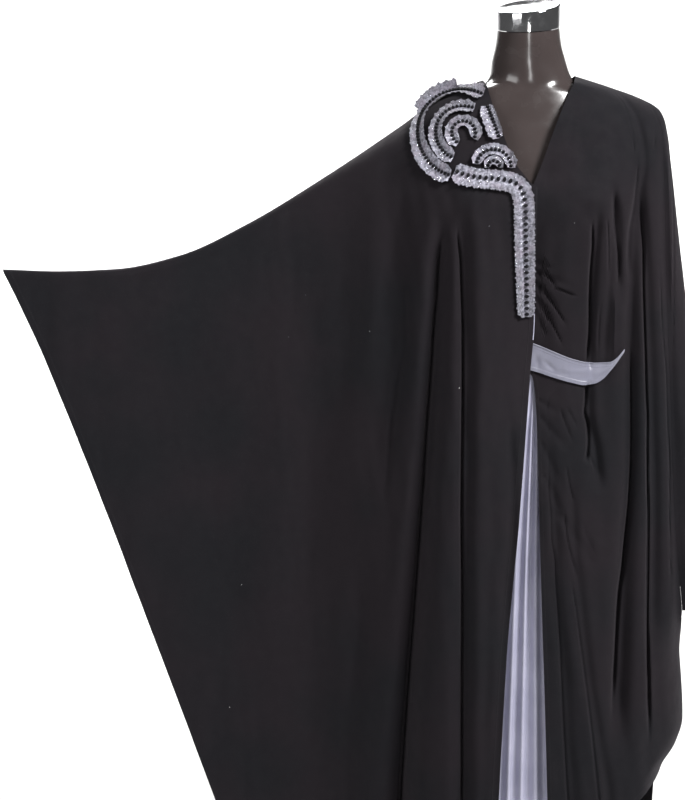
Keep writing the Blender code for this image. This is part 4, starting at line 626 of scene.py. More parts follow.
side_seam = table(BACK_LINES)["seam"]
centre_front = table(RIGHT_LINES)["centre"]
top_line = curve(*zip(*TOP_LINE))
rounding = curve(*zip(*ROUNDING))
v_right = curve(*zip(*V_RIGHT))
v_left = curve(*zip(*V_LEFT))
form_at = table(FORM_RINGS)


def middle(x):
    """The middle plane's y at x: it swings forward along the held wing."""
    return -TIP_FORWARD * smooth((WING_ROOT_X - x) / (WING_ROOT_X - TIP_X)) ** 1.4


def form_depth(x, z, side, over):
    """How far the form, grown by an amount, reaches from the middle plane; negative past its sides."""
    height = z - over
    reach = form_at[side](height) + SIGN[side] * form_at["lean"](height) + over
    room = 1 - ((x - form_at["aside"](height)) / (form_at["half_width"](height) + over)) ** 2
    return np.where(room > 0, reach * np.sqrt(np.maximum(room, 0)), 2 * reach * room)


def trough(fold, x, z):
    """What a fold takes out of the depth at a point."""
    along = smooth((fold.top - z) / fold.fade) * smooth((z - fold.bottom) / fold.fade)
    share = np.clip((fold.top - z) / (fold.top - max(fold.bottom, 0.0)), 0, 1)
    wide = fold.wide_top + (fold.wide_bottom - fold.wide_top) * share
    deep = fold.deep_top + (fold.deep_bottom - fold.deep_top) * share
    return deep * along * np.exp(-(((x - curve(*zip(*fold.line))(z)) / wide) ** 2))


def beside(one, x, z):
    """How far along a short crease and how far off it a point lies, and the crease's length."""
    dx, dz = one.x1 - one.x0, one.z1 - one.z0
    length = math.hypot(dx, dz)
    along = ((x - one.x0) * dx + (z - one.z0) * dz) / length
    return along, ((x - one.x0) * dz - (z - one.z0) * dx) / length, length


def gathered(one, x, z):
    """What a gather takes out of the depth: a short trough that fades at its far end."""
    along, off, length = beside(one, x, z)
    fade = smooth(1 + along / 0.004) * smooth((length - along) / (0.5 * length))
    wide = one.wide * (0.8 + 0.5 * np.clip(along / length, 0, 1))
    return one.deep * fade * np.exp(-((off / wide) ** 2))


def creased(one, x, z):
    """What a small crease takes out of the depth."""
    along, off, length = beside(one, x, z)
    share = along / length
    fade = smooth(share / 0.25) * smooth((1 - share) / 0.35)
    return one.deep * fade * np.exp(-(((off - 4 * one.bow * share * (1 - share)) / one.wide) ** 2))


def arch(off, radius):
    """A quarter round: nothing at an edge, and all of the depth from a radius off it."""
    share = np.clip(off / radius, 0, 1)
    return np.sqrt(np.maximum(1 - (1 - share) ** 2, 0))


def layered(depth, x, z, side):
    """The depth rounded over at the top line and the side seam, and kept clear of the form."""
    radius = rounding(x)
    off = np.clip((top_line(x) - z) / np.sqrt(1 + slope(top_line, x) ** 2), 0, radius)
    closed = smooth((SIDE_TOP - z) / SIDE_FADE)
    depth = depth * arch(off, radius) * (1 - closed * (1 - arch(side_seam(z) - x, SIDE_RADIUS)))
    least = form_depth(x, z, side, CLOTH + REST_GAP + EASE * smooth(off / (0.2 * radius)))
    return (depth + least + np.sqrt((depth - least) ** 2 + ROUND_BLEND**2)) / 2


def ripple_waves(number):
    """Seeded waves as (along x, along z, phase, height)."""
    chance = np.random.default_rng(RIPPLE_SEED + number)
    waves = []
    for _ in range(RIPPLE_COUNT):
        length = RIPPLE_SHORTEST * (RIPPLE_LONGEST / RIPPLE_SHORTEST) ** chance.random()
        slant = RIPPLE_SLANT * (chance.random() - 0.5)
        height = RIPPLE_HEIGHT * (length / RIPPLE_LONGEST) ** 0.7
        turn = 2 * math.pi / length
        waves.append((turn * math.cos(slant), turn * math.sin(slant), 2 * math.pi * chance.random(), height))
    return waves


def panel_depth(number, side, places, depths, folds, gathers, creases):
    """A panel's depth as a function of x and z."""
    waves = ripple_waves(number)
    sections = table(depths).values()

    def depth_at(x, z):
        depth = across(places, [column(z) for column in sections], x)
        depth = depth - sum(trough(fold, x, z) for fold in folds)
        depth = depth - GATHER_SHARE * sum(gathered(one, x, z) for one in gathers)
        depth = depth - sum(creased(one, x, z) for one in creases)
        ripples = sum(height * np.sin(u * x + v * z + phase) for u, v, phase, height in waves)
        return layered(depth + ripples * (0.7 + 0.3 * np.sin(3.1 * z + 9.0 * x)), x, z, side)

    return depth_at


right_depth = panel_depth(0, "front", RIGHT_AT, RIGHT_DEPTHS, RIGHT_FOLDS, [], RIGHT_CREASES)
left_depth = panel_depth(1, "front", LEFT_AT, LEFT_DEPTHS, LEFT_FOLDS, GATHERS, LEFT_CREASES)
back_depth = panel_depth(2, "back", BACK_AT, BACK_DEPTHS, BACK_FOLDS, [], BACK_CREASES)


def placed(depth, x, z, side):
    """Points of a panel's outer face."""
    return np.stack([x, middle(x) + SIGN[side] * depth(x, z), z], axis=-1)


def quads_of(rows, cols):
    """Quads of a grid of points, row by row."""
    start = np.arange((rows - 1) * cols).reshape(rows - 1, cols)[:, :-1].ravel()
    return np.stack([start, start + 1, start + cols + 1, start + cols], axis=1)


def triangles_of(rows, cols):
    """Triangles of the same grid."""
    quads = quads_of(rows, cols)
    return np.concatenate([quads[:, [0, 1, 2]], quads[:, [0, 2, 3]]])


def offsets(points, side):
    """Which way, and how far per unit of wall, each point goes out to keep the wall's thickness."""
    flat = points.reshape(-1, 3)
    faces = triangles_of(*points.shape[:2])
    a, b, c = (flat[faces[:, k]] for k in range(3))
    ways = np.cross(b - a, c - a)
    if (ways[:, 1].sum() > 0) == (side == "front"):
        ways = -ways
    sums = np.zeros_like(flat)
    for k in range(3):
        np.add.at(sums, faces[:, k], ways)
    normals, ways = unit(sums), unit(ways)
    least = np.ones(len(flat))
    for k in range(3):
        np.minimum.at(least, faces[:, k], np.einsum("ij,ij->i", ways, normals[faces[:, k]]))
    return (normals / np.clip(least, LEAST_TURN, 1.0)[:, None]).reshape(points.shape)


def to_shoulder(points, out, edge, side):
    """Puts an edge half a seam's gap off the middle plane, with its wall straight below the top line."""
    x = points[edge][..., 0]
    points[edge + (1,)] = middle(x) + SIGN[side] * SEAM / 2
    out[edge] = unit(np.stack([-slope(top_line, x), np.zeros_like(x), np.ones_like(x)], axis=-1))


def square_edge(out, edge):
    """Keeps an edge's wall in the plane of its seam, at the wall's full thickness."""
    ways = unit(out[edge])
    reach = 1 / np.clip(np.hypot(ways[..., 1], ways[..., 2]), LEAST_TURN, 1.0)
    ways[..., 0] = 0
    out[edge] = unit(ways) * reach[..., None]


def close_side(points, out, side):
    """Brings a panel's left edge on to the middle plane below the cuff, half a seam's gap off it."""
    x, y, z = points[:, -1].T
    closed = smooth((SIDE_TOP - z) / SIDE_FADE)
    off_plane = np.maximum(SIGN[side] * (y - middle(x)) * (1 - closed), SEAM / 2)
    points[:, -1, 1] = middle(x) + SIGN[side] * off_plane
    sideways = unit(np.stack([np.ones_like(x), np.zeros_like(x), -slope(side_seam, z)], axis=-1))
    closed = closed[:, None]
    out[:, -1] = out[:, -1] * (1 - closed) + sideways * closed


def right_top(x):
    """The right front's top edge: the V of the neck, then the shoulder seam and the wing's top."""
    return np.where(x > NECK_RIGHT.x, v_right(x), top_line(x))


def left_top(x):
    """The left front's top edge, whose V runs on under the right front."""
    return np.where(x < NECK_LEFT.x, v_left(x), top_line(x))


def back_top(x):
    """The back's top edge: shoulder seams on both sides of a shallow curve behind the neck."""
    inside = np.clip((x - NECK_RIGHT.x) / (NECK_LEFT.x - NECK_RIGHT.x), 0, 1)
    straight = NECK_RIGHT.z + (NECK_LEFT.z - NECK_RIGHT.z) * inside
    neck = straight - BACK_NECK_DROP * np.sin(np.pi * inside) ** 0.8
    return np.where((inside > 0) & (inside < 1), neck, top_line(x))


def column_lines(lines, counts, corner_line, corners):
    """Each column of a panel's grid, x by height: closer near the lines, and through given corners."""
    curves = table(lines)
    names = list(counts) + [lines[0]._fields[-1]]
    for name, after in zip(names, names[1:]):
        shares = np.arange(counts[name]) / counts[name]
        shares = shares - CLOSER_AT_LINES * np.sin(2 * np.pi * shares) / (2 * np.pi)
        for corner in corners if name == corner_line else []:
            start, end = float(curves[name](corner.z)), float(curves[after](corner.z))
            share = (corner.x - start) / (end - start)
            shares[np.argmin(np.abs(shares - share))] = share
        for share in shares:
            yield lambda z, n=name, a=after, s=share: curves[n](z) * (1 - s) + curves[a](z) * s
    yield curves[names[-1]]


def meeting(column, edge, z):
    """The height at which a column meets an edge that is given as height over x."""
    for _ in range(80):
        z = 0.5 * z + 0.5 * float(edge(column(z)))
    return z


def panel_grid(lines, counts, top_edge, hem, rows, corner_line, corners, row_spread=EVEN_ROWS):
    """x and z of a panel's grid: close rows where the cloth rounds over, then rows spread down to the hem."""
    hem_at = curve(*zip(*hem))
    turned_over = 1 - np.cos(np.radians(np.linspace(0, 90, ARCH_ROWS)))
    down = np.interp(np.linspace(0, 1, rows + 1), *zip(*row_spread))
    xs, zs = [], []
    for column in column_lines(lines, counts, corner_line, corners):
        top, bottom = meeting(column, top_edge, 1.3), meeting(column, hem_at, 0.1)
        arched = top - float(rounding(column(top))) * turned_over
        z = np.concatenate([arched, arched[-1] + (bottom - arched[-1]) * down[1:]])
        xs.append(column(z))
        zs.append(z)
    return np.array(xs).T, np.array(zs).T


def cut_lengths(points):
    """How far each point of a grid lies from the grid's four borders, measured along the cloth."""
    rows, cols = points.shape[:2]
    steps_across = np.linalg.norm(np.diff(points, axis=1), axis=2)
    steps_down = np.linalg.norm(np.diff(points, axis=0), axis=2)
    left = np.concatenate([np.zeros((rows, 1)), np.cumsum(steps_across, axis=1)], axis=1)
    top = np.concatenate([np.zeros((1, cols)), np.cumsum(steps_down, axis=0)])
    return {"left": left, "right": left[:, -1:] - left, "top": top, "bottom": top[-1:] - top}


def sewn_edges(lengths, sides):
    """For each point, how far the nearest sewn border is, and how far along it the point lies."""
    edge = np.full(lengths["left"].shape, 1.0)
    run = np.zeros_like(edge)
    for side in sides:
        nearer = lengths[side] < edge
        edge = np.where(nearer, lengths[side], edge)
        run = np.where(nearer, lengths["top" if side in ("left", "right") else "left"], run)
    return {"edge": np.tile(edge.ravel(), 2), "run": np.tile(run.ravel(), 2)}


def added(name, data):
    """A new object in the scene."""
    new_object = bpy.data.objects.new(name, data)
    bpy.context.scene.collection.objects.link(new_object)
    return new_object


def made(name, points, faces, finish, node=None, uv=None, attributes=None, sharp=40):
    """A piece with its faces pointing out, its cloth lengths as a UV map, and its finish."""
    mesh = bpy.data.meshes.new(name)
    mesh.from_pydata(np.asarray(points).tolist(), [], [list(face) for face in faces])
    closed = bmesh.new()
    closed.from_mesh(mesh)
    if closed.calc_volume(signed=True) < 0:
        bmesh.ops.reverse_faces(closed, faces=closed.faces)
    closed.to_mesh(mesh)
    closed.free()
    for key, values in (attributes or {}).items():
        mesh.attributes.new(key, "FLOAT", "POINT").data.foreach_set("value", values.astype(np.float32))
    if uv is not None:
        corners = np.empty(len(mesh.loops), np.int32)
        mesh.loops.foreach_get("vertex_index", corners)
        mesh.uv_layers.new(name="cloth").data.foreach_set("uv", uv[corners].astype(np.float32).ravel())
    mesh.materials.append(finish)
    if sharp:
        mesh.shade_smooth()
        mesh.set_sharp_from_angle(angle=math.radians(sharp))
    piece = added(name, mesh)
    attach(piece, "root")
    if node:
        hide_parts(node)
    return piece


def shell(node, outer, inner, finish, sewn=()):
    """A closed thin shell between two grids of points. Returns it and its outer face, to lay things on."""
    rows, cols = outer.shape[:2]
    count = rows * cols
    quads = quads_of(rows, cols)
    number = np.arange(count).reshape(rows, cols)
    rim = np.concatenate([number[0], number[1:, -1], number[-1, -2::-1], number[-2:0:-1, 0]])
    after = np.roll(rim, -1)
    sides = np.stack([after, rim, rim + count, after + count], axis=1)
    faces = np.concatenate([quads, quads[:, ::-1] + count, sides])
    flat_outer = outer.reshape(-1, 3)
    points = np.concatenate([flat_outer, inner.reshape(-1, 3)])
    lengths = cut_lengths(outer)
    uv = np.stack([lengths["left"], lengths["top"]], axis=-1).reshape(-1, 2)
    uv = np.tile(uv, (2, 1))
    piece = made(node + "_cloth", points, faces, finish, node, uv, sewn_edges(lengths, sewn))
    surface = BVHTree.FromPolygons([Vector(p) for p in flat_outer], triangles_of(rows, cols).tolist())
    return piece, surface


def panel(node, side, depth, grid, finish, sewn):
    """A panel's shell, its outer face, and the line of its seam with the hanging wing."""
    x, z = grid
    seamed = node != "front_right"
    if seamed:
        x[:, -1] -= SEAM / 2
    outer = placed(depth, x, z, side)
    out = offsets(outer, side)
    if seamed:
        square_edge(out, (slice(None), -1))
        close_side(outer, out, side)
    shoulder = np.where((x[0] <= NECK_RIGHT.x + NECK_REACH) | (x[0] >= NECK_LEFT.x - NECK_REACH))[0]
    to_shoulder(outer, out, (0, shoulder), side)
    piece, surface = shell(node, outer, outer - SHELL * out, finish, sewn)
    return piece, surface, np.stack([x[:, -1], z[:, -1]], axis=-1)


def fronts_and_back(finish):
    """The three panels. Returns both fronts' outer faces, and both seams with the hanging wing."""
    grid = panel_grid(RIGHT_LINES, RIGHT_COLUMNS, right_top, RIGHT_HEM, RIGHT_ROWS, "centre", [NECK_RIGHT])
    piece, right, _ = panel("front_right", "front", right_depth, grid, finish, ("left", "right", "bottom"))
    grid = panel_grid(
        LEFT_LINES, LEFT_COLUMNS, left_top, LEFT_HEM, LEFT_ROWS, "centre", [NECK_LEFT], LEFT_ROW_SPREAD
    )
    piece, left, front_seam = panel("front_left", "front", left_depth, grid, finish, ("left", "bottom"))
    corners = [NECK_RIGHT, NECK_LEFT]
    grid = panel_grid(BACK_LINES, BACK_COLUMNS, back_top, BACK_HEM, BACK_ROWS, "blade_r", corners)
    piece, _, back_seam = panel("back", "back", back_depth, grid, finish, ("left", "bottom"))
    return right, left, front_seam, back_seam


def hanging_wing(name, depth, seam, side, finish):
    """One layer of the wing that hangs at the left: from the panel's seam out to the top edge."""
    edge_x = curve(*zip(*[(p.z, p.x) for p in TOP_LINE[::-1] if p.x > TOP_LINE_TURN]))
    seam = seam[seam[:, 1] > CUFF_INNER]
    down = ((seam[0, 1] - seam[:, 1]) / (seam[0, 1] - seam[-1, 1]))[:, None]
    share = np.arange(WING_COLUMNS) / (WING_COLUMNS - 1)
    out = 1 - (1 - share) ** WING_CLOSER
    start_z = top_line(seam[0, 0] * (1 - out) + WING_TOP.x * out)
    z = start_z + (seam[-1, 1] + (WING_TIP.z - seam[-1, 1]) * share - start_z) * down
    outer_x = WING_TOP.x + (edge_x(z) - WING_TOP.x) * np.interp(down, [0, WING_HEAD], [0, 1])
    x = seam[:, :1] * (1 - out) + outer_x * out
    x[:, 0] += SEAM
    outer = placed(depth, x, z, side)
    out = offsets(outer, side)
    square_edge(out, (slice(None), 0))
    to_shoulder(outer, out, (0, slice(None)), side)
    to_shoulder(outer, out, (slice(None), -1), side)
    piece, _ = shell(name, outer, outer - SHELL * out, finish, ("bottom",))


def inset(finish):
    """The pleated satin panel that shows in the slit."""
    at = table(INSET_ROWS)
    top, bottom = INSET_ROWS[-1].height, INSET_ROWS[0].height
    shares, s = np.meshgrid(*(np.linspace(0, 1, count + 1) for count in INSET_GRID), indexing="ij")
    z = top + (bottom - top) * shares
    bent = s + INSET_UNEVEN * np.sin(2 * np.pi * (1.7 * s + 0.4 * shares)) * smooth(shares / 0.3)
    wave = np.cos(2 * np.pi * INSET_PLEATS * bent)
    y = -(at["depth"](z) + at["pleat"](z) * np.sign(wave) * np.abs(wave) ** INSET_SHARPNESS)
    outer = np.stack([at["left"](z) * (1 - s) + at["right"](z) * s, y, z], axis=-1)
    inner = outer - SHELL * offsets(outer, "front")
    piece, _ = shell("satin_inset", outer, inner, finish, ("bottom",))


def lay(surface, x, z, reach):
    """A point just clear of a panel's front within a reach of x and z, and the even way out there."""
    ahead, way = 0.0, Vector((0, -0.01, 0))
    for share_x, share_z in ((0, 0), (1, 0), (-1, 0), (0, 1), (0, -1)):
        for step in (reach, NORMAL_REACH):
            start = Vector((x + share_x * step, -1.0, z + share_z * step))
            hit, normal, _, _ = surface.ray_cast(start, Vector((0, 1, 0)))
            if hit is not None and step == reach:
                ahead = min(ahead, hit.y)
            elif hit is not None:
                way += normal if normal.y < 0 else -normal
    return Vector((x, ahead, z)), way.normalized()


def run_along(points):
    """How far along a polyline each of its points lies."""
    return np.concatenate([[0], np.cumsum(np.linalg.norm(np.diff(points, axis=0), axis=1))])


def on_line(places, lengths, values):
    """Values of a polyline's points, taken at places along it."""
    return np.stack([np.interp(places, lengths, column) for column in np.array(values).T], axis=-1)


def evenly(points, step):
    """Points a step apart along a polyline, and the directions there."""
    lengths = run_along(points)
    places = np.linspace(0, lengths[-1], max(2, int(round(lengths[-1] / step))) + 1)
    found = on_line(places, lengths, points)
    return found, unit(np.gradient(found, axis=0))


def spread(surface, x, z, step_x, step_z):
    """How much of a step across a panel is left in front view, where the panel turns away."""
    near, _ = lay(surface, x, z, 0.0)
    far, _ = lay(surface, x + PROBE_SHARE * step_x, z + PROBE_SHARE * step_z, 0.0)
    if near.y == 0.0 or far.y == 0.0:
        return 1.0
    length = PROBE_SHARE * math.hypot(step_x, step_z)
    return max(LEAST_SPREAD, length / math.hypot(length, far.y - near.y))


def smooth_line(points):
    """A smooth line through given points."""
    fine = np.linspace(0, len(points) - 1, 12 * len(points))
    return np.stack([curve(np.arange(len(points)), column)(fine) for column in zip(*points)], axis=-1)


def ring_faces(rings, sides, first=0):
    """Faces of a closed solid through rings of points, with flat ends."""
    faces = []
    for r in range(rings - 1):
        for k in range(sides):
            a, b = first + r * sides + k, first + r * sides + (k + 1) % sides
            faces.append((a, b, b + sides, a + sides))
    last = first + (rings - 1) * sides
    return faces + [tuple(range(first, first + sides))[::-1], tuple(range(last, last + sides))]


def cord(name, line, radius, finish):
    """A closed round cord along a line of points."""
    ways = unit(np.gradient(line, axis=0))
    first = unit(np.cross(ways, (0.0, 1.0, 0.0)))
    second = np.cross(ways, first)
    angles = turns(CORD_SIDES)[None, :, None]
    rings = line[:, None] + radius * (np.cos(angles) * first[:, None] + np.sin(angles) * second[:, None])
    made(name, rings.reshape(-1, 3), ring_faces(len(line), CORD_SIDES), finish)


def belt_relief(s, t):
    """How the belt's cloth stands off the panel: a crowned band with a pucker and small creases."""
    relief = BELT_CROWN * np.sin(np.pi * t)
    for one in BELT_PUCKERS:
        off = np.hypot((s - one.s) / one.wide_s, (t - one.t - one.slant * (s - one.s)) / one.wide_t)
        relief = relief - one.deep * np.exp(-(off**2))
    return relief


def belt(surface, finish):
    at = table(BELT_ROWS)
    along, across_count = BELT_GRID
    under, over = [], []
    for t in np.linspace(0, 1, across_count):
        for s, x in enumerate(np.linspace(BELT_ROWS[0].x, BELT_ROWS[-1].x, along)):
            z = float(at["bottom"](x) + (at["top"](x) - at["bottom"](x)) * t)
            foot, _ = lay(surface, x, z, BELT_REACH)
            relief = float(belt_relief(s / (along - 1), t))
            under.append(foot - Vector((0, REST_GAP, 0)))
            over.append(foot - Vector((0, REST_GAP + BELT_WALL + relief, 0)))
    under, over = (np.array(face).reshape(across_count, along, 3) for face in (under, over))
    piece, _ = shell("belt", over, under, finish, ("top", "bottom"))
    cord("belt_piping", over[-1] + np.array([0.0, -0.0002, 0.0003]), PIPING_RADIUS, finish)


def painted_highlight_cord(surface, finish):
    """A pale cord along the right front's edge, between the ruffle's foot and the belt: a painted highlight,
    standing in for the light caught by the folded edge.
    """
    heights = np.linspace(HIGHLIGHT_CORD_TOP, HIGHLIGHT_CORD_BOTTOM, 16)
    places = [float(centre_front(height)) - HIGHLIGHT_CORD_RADIUS for height in heights]
    line = [lay(surface, x, z, HIGHLIGHT_CORD_RADIUS)[0] for x, z in zip(places, heights)]
    cord("cord_painted_highlight", np.array(line) - [0.0, 0.5 * HIGHLIGHT_CORD_RADIUS, 0.0], HIGHLIGHT_CORD_RADIUS, finish)


def stones(name, centres, axes, spokes, shape, finish):
    """Small faceted stones, each through rings about its axis; every other ring is turned by a twist."""
    radius, profile, sides, twist = shape
    points, faces = [], []
    for centre, axis, first, second in zip(centres, axes, spokes, unit(np.cross(axes, spokes))):
        faces += ring_faces(len(profile), sides, len(points))
        for ring, (height, reach) in enumerate(profile):
            for angle in turns(sides) + (ring % 2) * twist:
                spoke = np.cos(angle) * first + np.sin(angle) * second
                points.append(centre + radius * (height * axis + reach * spoke))
    made(name, points, faces, finish, sharp=0)


def bead_string(name, feet, ways_out, beads, finish):
    """Faceted beads strung along a line of points and ways out of the cloth."""
    lengths = run_along(feet)
    count = max(2, int(lengths[-1] / beads.pitch))
    places = np.linspace(beads.pitch / 2, lengths[-1] - beads.pitch / 2, count)
    centres = on_line(places, lengths, feet)
    out = unit(on_line(places, lengths, ways_out))
    axes = unit(np.gradient(centres, axis=0))
    centres = centres + out * beads.radius * BEAD_LIFT
    shape = (beads.radius, BEAD_PROFILE, BEAD_SIDES, np.pi / BEAD_SIDES)
    stones(name, centres, axes, out, shape, finish)


def crystals(name, places, surface, finish):
    """Small cut stones glued to the cloth, each a low faceted dome."""
    laid = [lay(surface, place.x, place.z, CRYSTAL_REACH) for place in places]
    feet, ways = (np.array(found) for found in zip(*laid))
    spokes = unit(np.cross(ways, (0.0, 0.0, 1.0)))
    shape = (CRYSTAL_RADIUS, CRYSTAL_PROFILE, CRYSTAL_SIDES, 0.0)
    stones(name, feet, ways, spokes, shape, finish)


def ruffle(name, line, outer_reach, inner_reach, settle, beads, surface, finishes):
    """A gathered ribbon sewn down along its middle, its two sides up in waves, and its string of beads."""
    halves = len(evenly(line, RUFFLE_PITCH / 2)[0]) - 1
    length = run_along(line)[-1]
    stations, ways = evenly(line, length / (halves * STEPS_IN_HALF))
    normals = np.stack([ways[:, 1], -ways[:, 0]], axis=-1)
    phase = np.pi * np.arange(len(stations)) / STEPS_IN_HALF
    room = {}
    for side, reach in ((-1, outer_reach), (1, inner_reach)):
        steps = normals * side * reach
        shares = np.array([spread(surface, *at, *step) for at, step in zip(stations, steps)])
        edge = stations + normals * (side * reach * shares)[:, None]
        spacing = np.linalg.norm(np.gradient(edge, axis=0), axis=1) * STEPS_IN_HALF
        room[side] = (reach * shares, np.minimum(1, spacing / (RUFFLE_PITCH / 2)) ** 1.5)
    run = np.linspace(0, length, len(stations))
    tucked = 1 - END_TUCK * (1 - smooth(np.minimum(run, length - run) / END_REACH))
    feet, ways_out = [], []
    for t in np.linspace(-1, 1, RUFFLE_ACROSS):
        side, share = (-1 if t < 0 else 1), abs(t)
        reach, crowd = room[side]
        scallop = SCALLOP * np.cos(2 * phase + 0.7 * side) + SCALLOP_UNEVEN * np.sin(0.83 * phase + side)
        row = stations + normals * (side * share * reach * (1 + scallop * share) * tucked)[:, None]
        uneven = 1 - FRILL_UNEVEN * (1 + np.sin(0.41 * phase + 1.9 * side))
        wave = side * np.cos(phase) * FRILL_WAVE * crowd * uneven * share**1.3
        crimp = CRIMP * np.cos(CRIMPS_IN_WAVE * phase + 2.0 * share) * share
        rise = RUFFLE_LIFT + (FRILL_RISE - RUFFLE_LIFT) * share**RIBBON_BOWL + wave + crimp
        for k, (at_x, at_z) in enumerate(row):
            beyond = max(0.0, at_x - float(centre_front(at_z)) + CLEAR_OF_EDGE)
            above = max(0.0, at_z - float(right_top(at_x - beyond)) + CLEAR_OF_EDGE)
            near = settle + (CLEAR_OF_EDGE - settle) * share
            foot, way = lay(surface, at_x - beyond, at_z - above, near)
            feet.append(foot + Vector((beyond, 0, above)) + way * float(rise[k]))
            ways_out.append(way)
    under, out = (np.array(found).reshape(RUFFLE_ACROSS, -1, 3) for found in (feet, ways_out))
    over = under + RIBBON_SHELL * out
    piece, _ = shell(name, over, under, finishes["silver_ribbon"], ("top", "bottom"))
    seam = RUFFLE_ACROSS // 2
    bead_string(name + "_beads", over[seam], out[seam], beads, finishes["black_bead"])


def ruffles(surface, finishes):
    for arc in ROSETTE_ARCS:
        angles = np.radians(np.linspace(arc.start, arc.end, 120))
        line = np.stack([arc.x + arc.radius * np.cos(angles), arc.z + arc.radius * np.sin(angles)], axis=-1)
        ruffle(arc.name, line[::-1], arc.outer, arc.inner, SETTLE, ROSETTE_BEADS, surface, finishes)
    for sweep in RUFFLE_SWEEPS:
        line = smooth_line(sweep.points)
        ruffle(sweep.name, line, sweep.outer, sweep.inner, sweep.settle, sweep.beads, surface, finishes)


def ringed(name, rings, finish, node):
    """A closed solid through rings of points, with flat ends."""
    made(name, np.concatenate(rings), ring_faces(len(rings), len(rings[0])), finish, node, sharp=30)


def form_ring(height, over=0.0, slant=0.0, side_slant=0.0, share=1.0):
    """A ring of the dress form at a height, widened, tilted about the middle of the neck."""
    angles = turns(FORM_SIDES)
    reach = np.where(np.sin(angles) < 0, form_at["front"](height), form_at["back"](height)) + over
    x = (form_at["half_width"](height) + over) * share * np.cos(angles)
    y = reach * share * np.sin(angles)
    z = height + slant * y + side_slant * x
    return np.stack([x + form_at["aside"](height), y + form_at["lean"](height), z], axis=-1)


def dress_form(finishes):
    heights = [FORM_BOTTOM, FORM_BOTTOM + 0.0015, FORM_BOTTOM + 0.004, FORM_BOTTOM + 0.008]
    heights += list(np.linspace(FORM_BOTTOM + 0.012, NECK_TOP - 0.004, FORM_ROWS)) + [NECK_TOP]
    rings = []
    for height in heights:
        tilt = smooth((height - TILT_FROM) / (NECK_TOP - TILT_FROM))
        rings.append(form_ring(height, slant=NECK_TOP_SLANT * tilt, side_slant=NECK_SIDE_SLANT * tilt))
    ringed("form_torso_smooth", rings, finishes["form_gloss"], "form_torso")
    neck = (NECK_TOP_SLANT, NECK_SIDE_SLANT)
    edges = [(SEAM, *neck, 0.985), (SEAM + 0.001, *neck, 1.0)]
    for angle in np.radians(np.linspace(0, 90, 8)):
        height = CAP_TOP - CAP_ROUND + CAP_ROUND * math.sin(angle) - NECK_TOP
        edges.append((height, CAP_TOP_SLANT, CAP_SIDE_SLANT, 1 - CAP_SHRINK * (1 - math.cos(angle))))
    rings = []
    for height, slant, side_slant, share in edges:
        rings.append(form_ring(NECK_TOP, CAP_OVER, slant, side_slant, share) + [0.0, 0.0, height])
    ringed("neck_cap_smooth", rings, finishes["chrome"], "neck_cap")


def turned(name, profile, finish, node):
    """A solid turned about the pole's axis from (radius, height) points, bottom to top."""
    angles = turns(STAND_SIDES)
    rings = [np.stack([r * np.cos(angles), r * np.sin(angles), h + 0 * angles], axis=-1) for r, h in profile]
    ringed(name, rings, finish, node)


def corner(centre_radius, centre_height, radius, start, end):
    """(radius, height) points round a corner of a turned profile."""
    angles = np.radians(np.linspace(start, end, 6))
    return [(centre_radius + radius * math.cos(a), centre_height + radius * math.sin(a)) for a in angles]


def stand(finishes):
    pole_head = FORM_BOTTOM - SEAM
    flange = pole_head - FLANGE_HEIGHT
    inside = FLANGE_RADIUS - FLANGE_CORNER
    profile = [(POLE_RADIUS, BASE_DOME + HUB_HEIGHT + SEAM), (POLE_RADIUS, flange - FLANGE_SLOPE)]
    profile += [(inside, flange), (FLANGE_RADIUS, flange + FLANGE_CORNER)]
    profile += corner(inside, pole_head - FLANGE_CORNER, FLANGE_CORNER, 0, 90)
    turned("stand_pole_smooth", profile, finishes["chrome"], "stand_pole")
    inside = BASE_RADIUS - BASE_CORNER
    profile = [(inside, 0.0), *corner(inside, BASE_CORNER, BASE_CORNER, -60, 0)]
    profile += corner(inside, BASE_RIM - BASE_CORNER, BASE_CORNER, 0, 80)
    profile += [(0.5 * BASE_RADIUS, 0.5 * (BASE_RIM + BASE_DOME) + 0.001)]
    profile += [(HUB_RADIUS + 0.006, BASE_DOME), (HUB_RADIUS + 0.002, BASE_DOME + 0.002)]
    profile += [(HUB_RADIUS, BASE_DOME + 0.006), (HUB_RADIUS - 0.004, BASE_DOME + HUB_HEIGHT)]
    turned("stand_base_smooth", profile, finishes["chrome"], "stand_base")


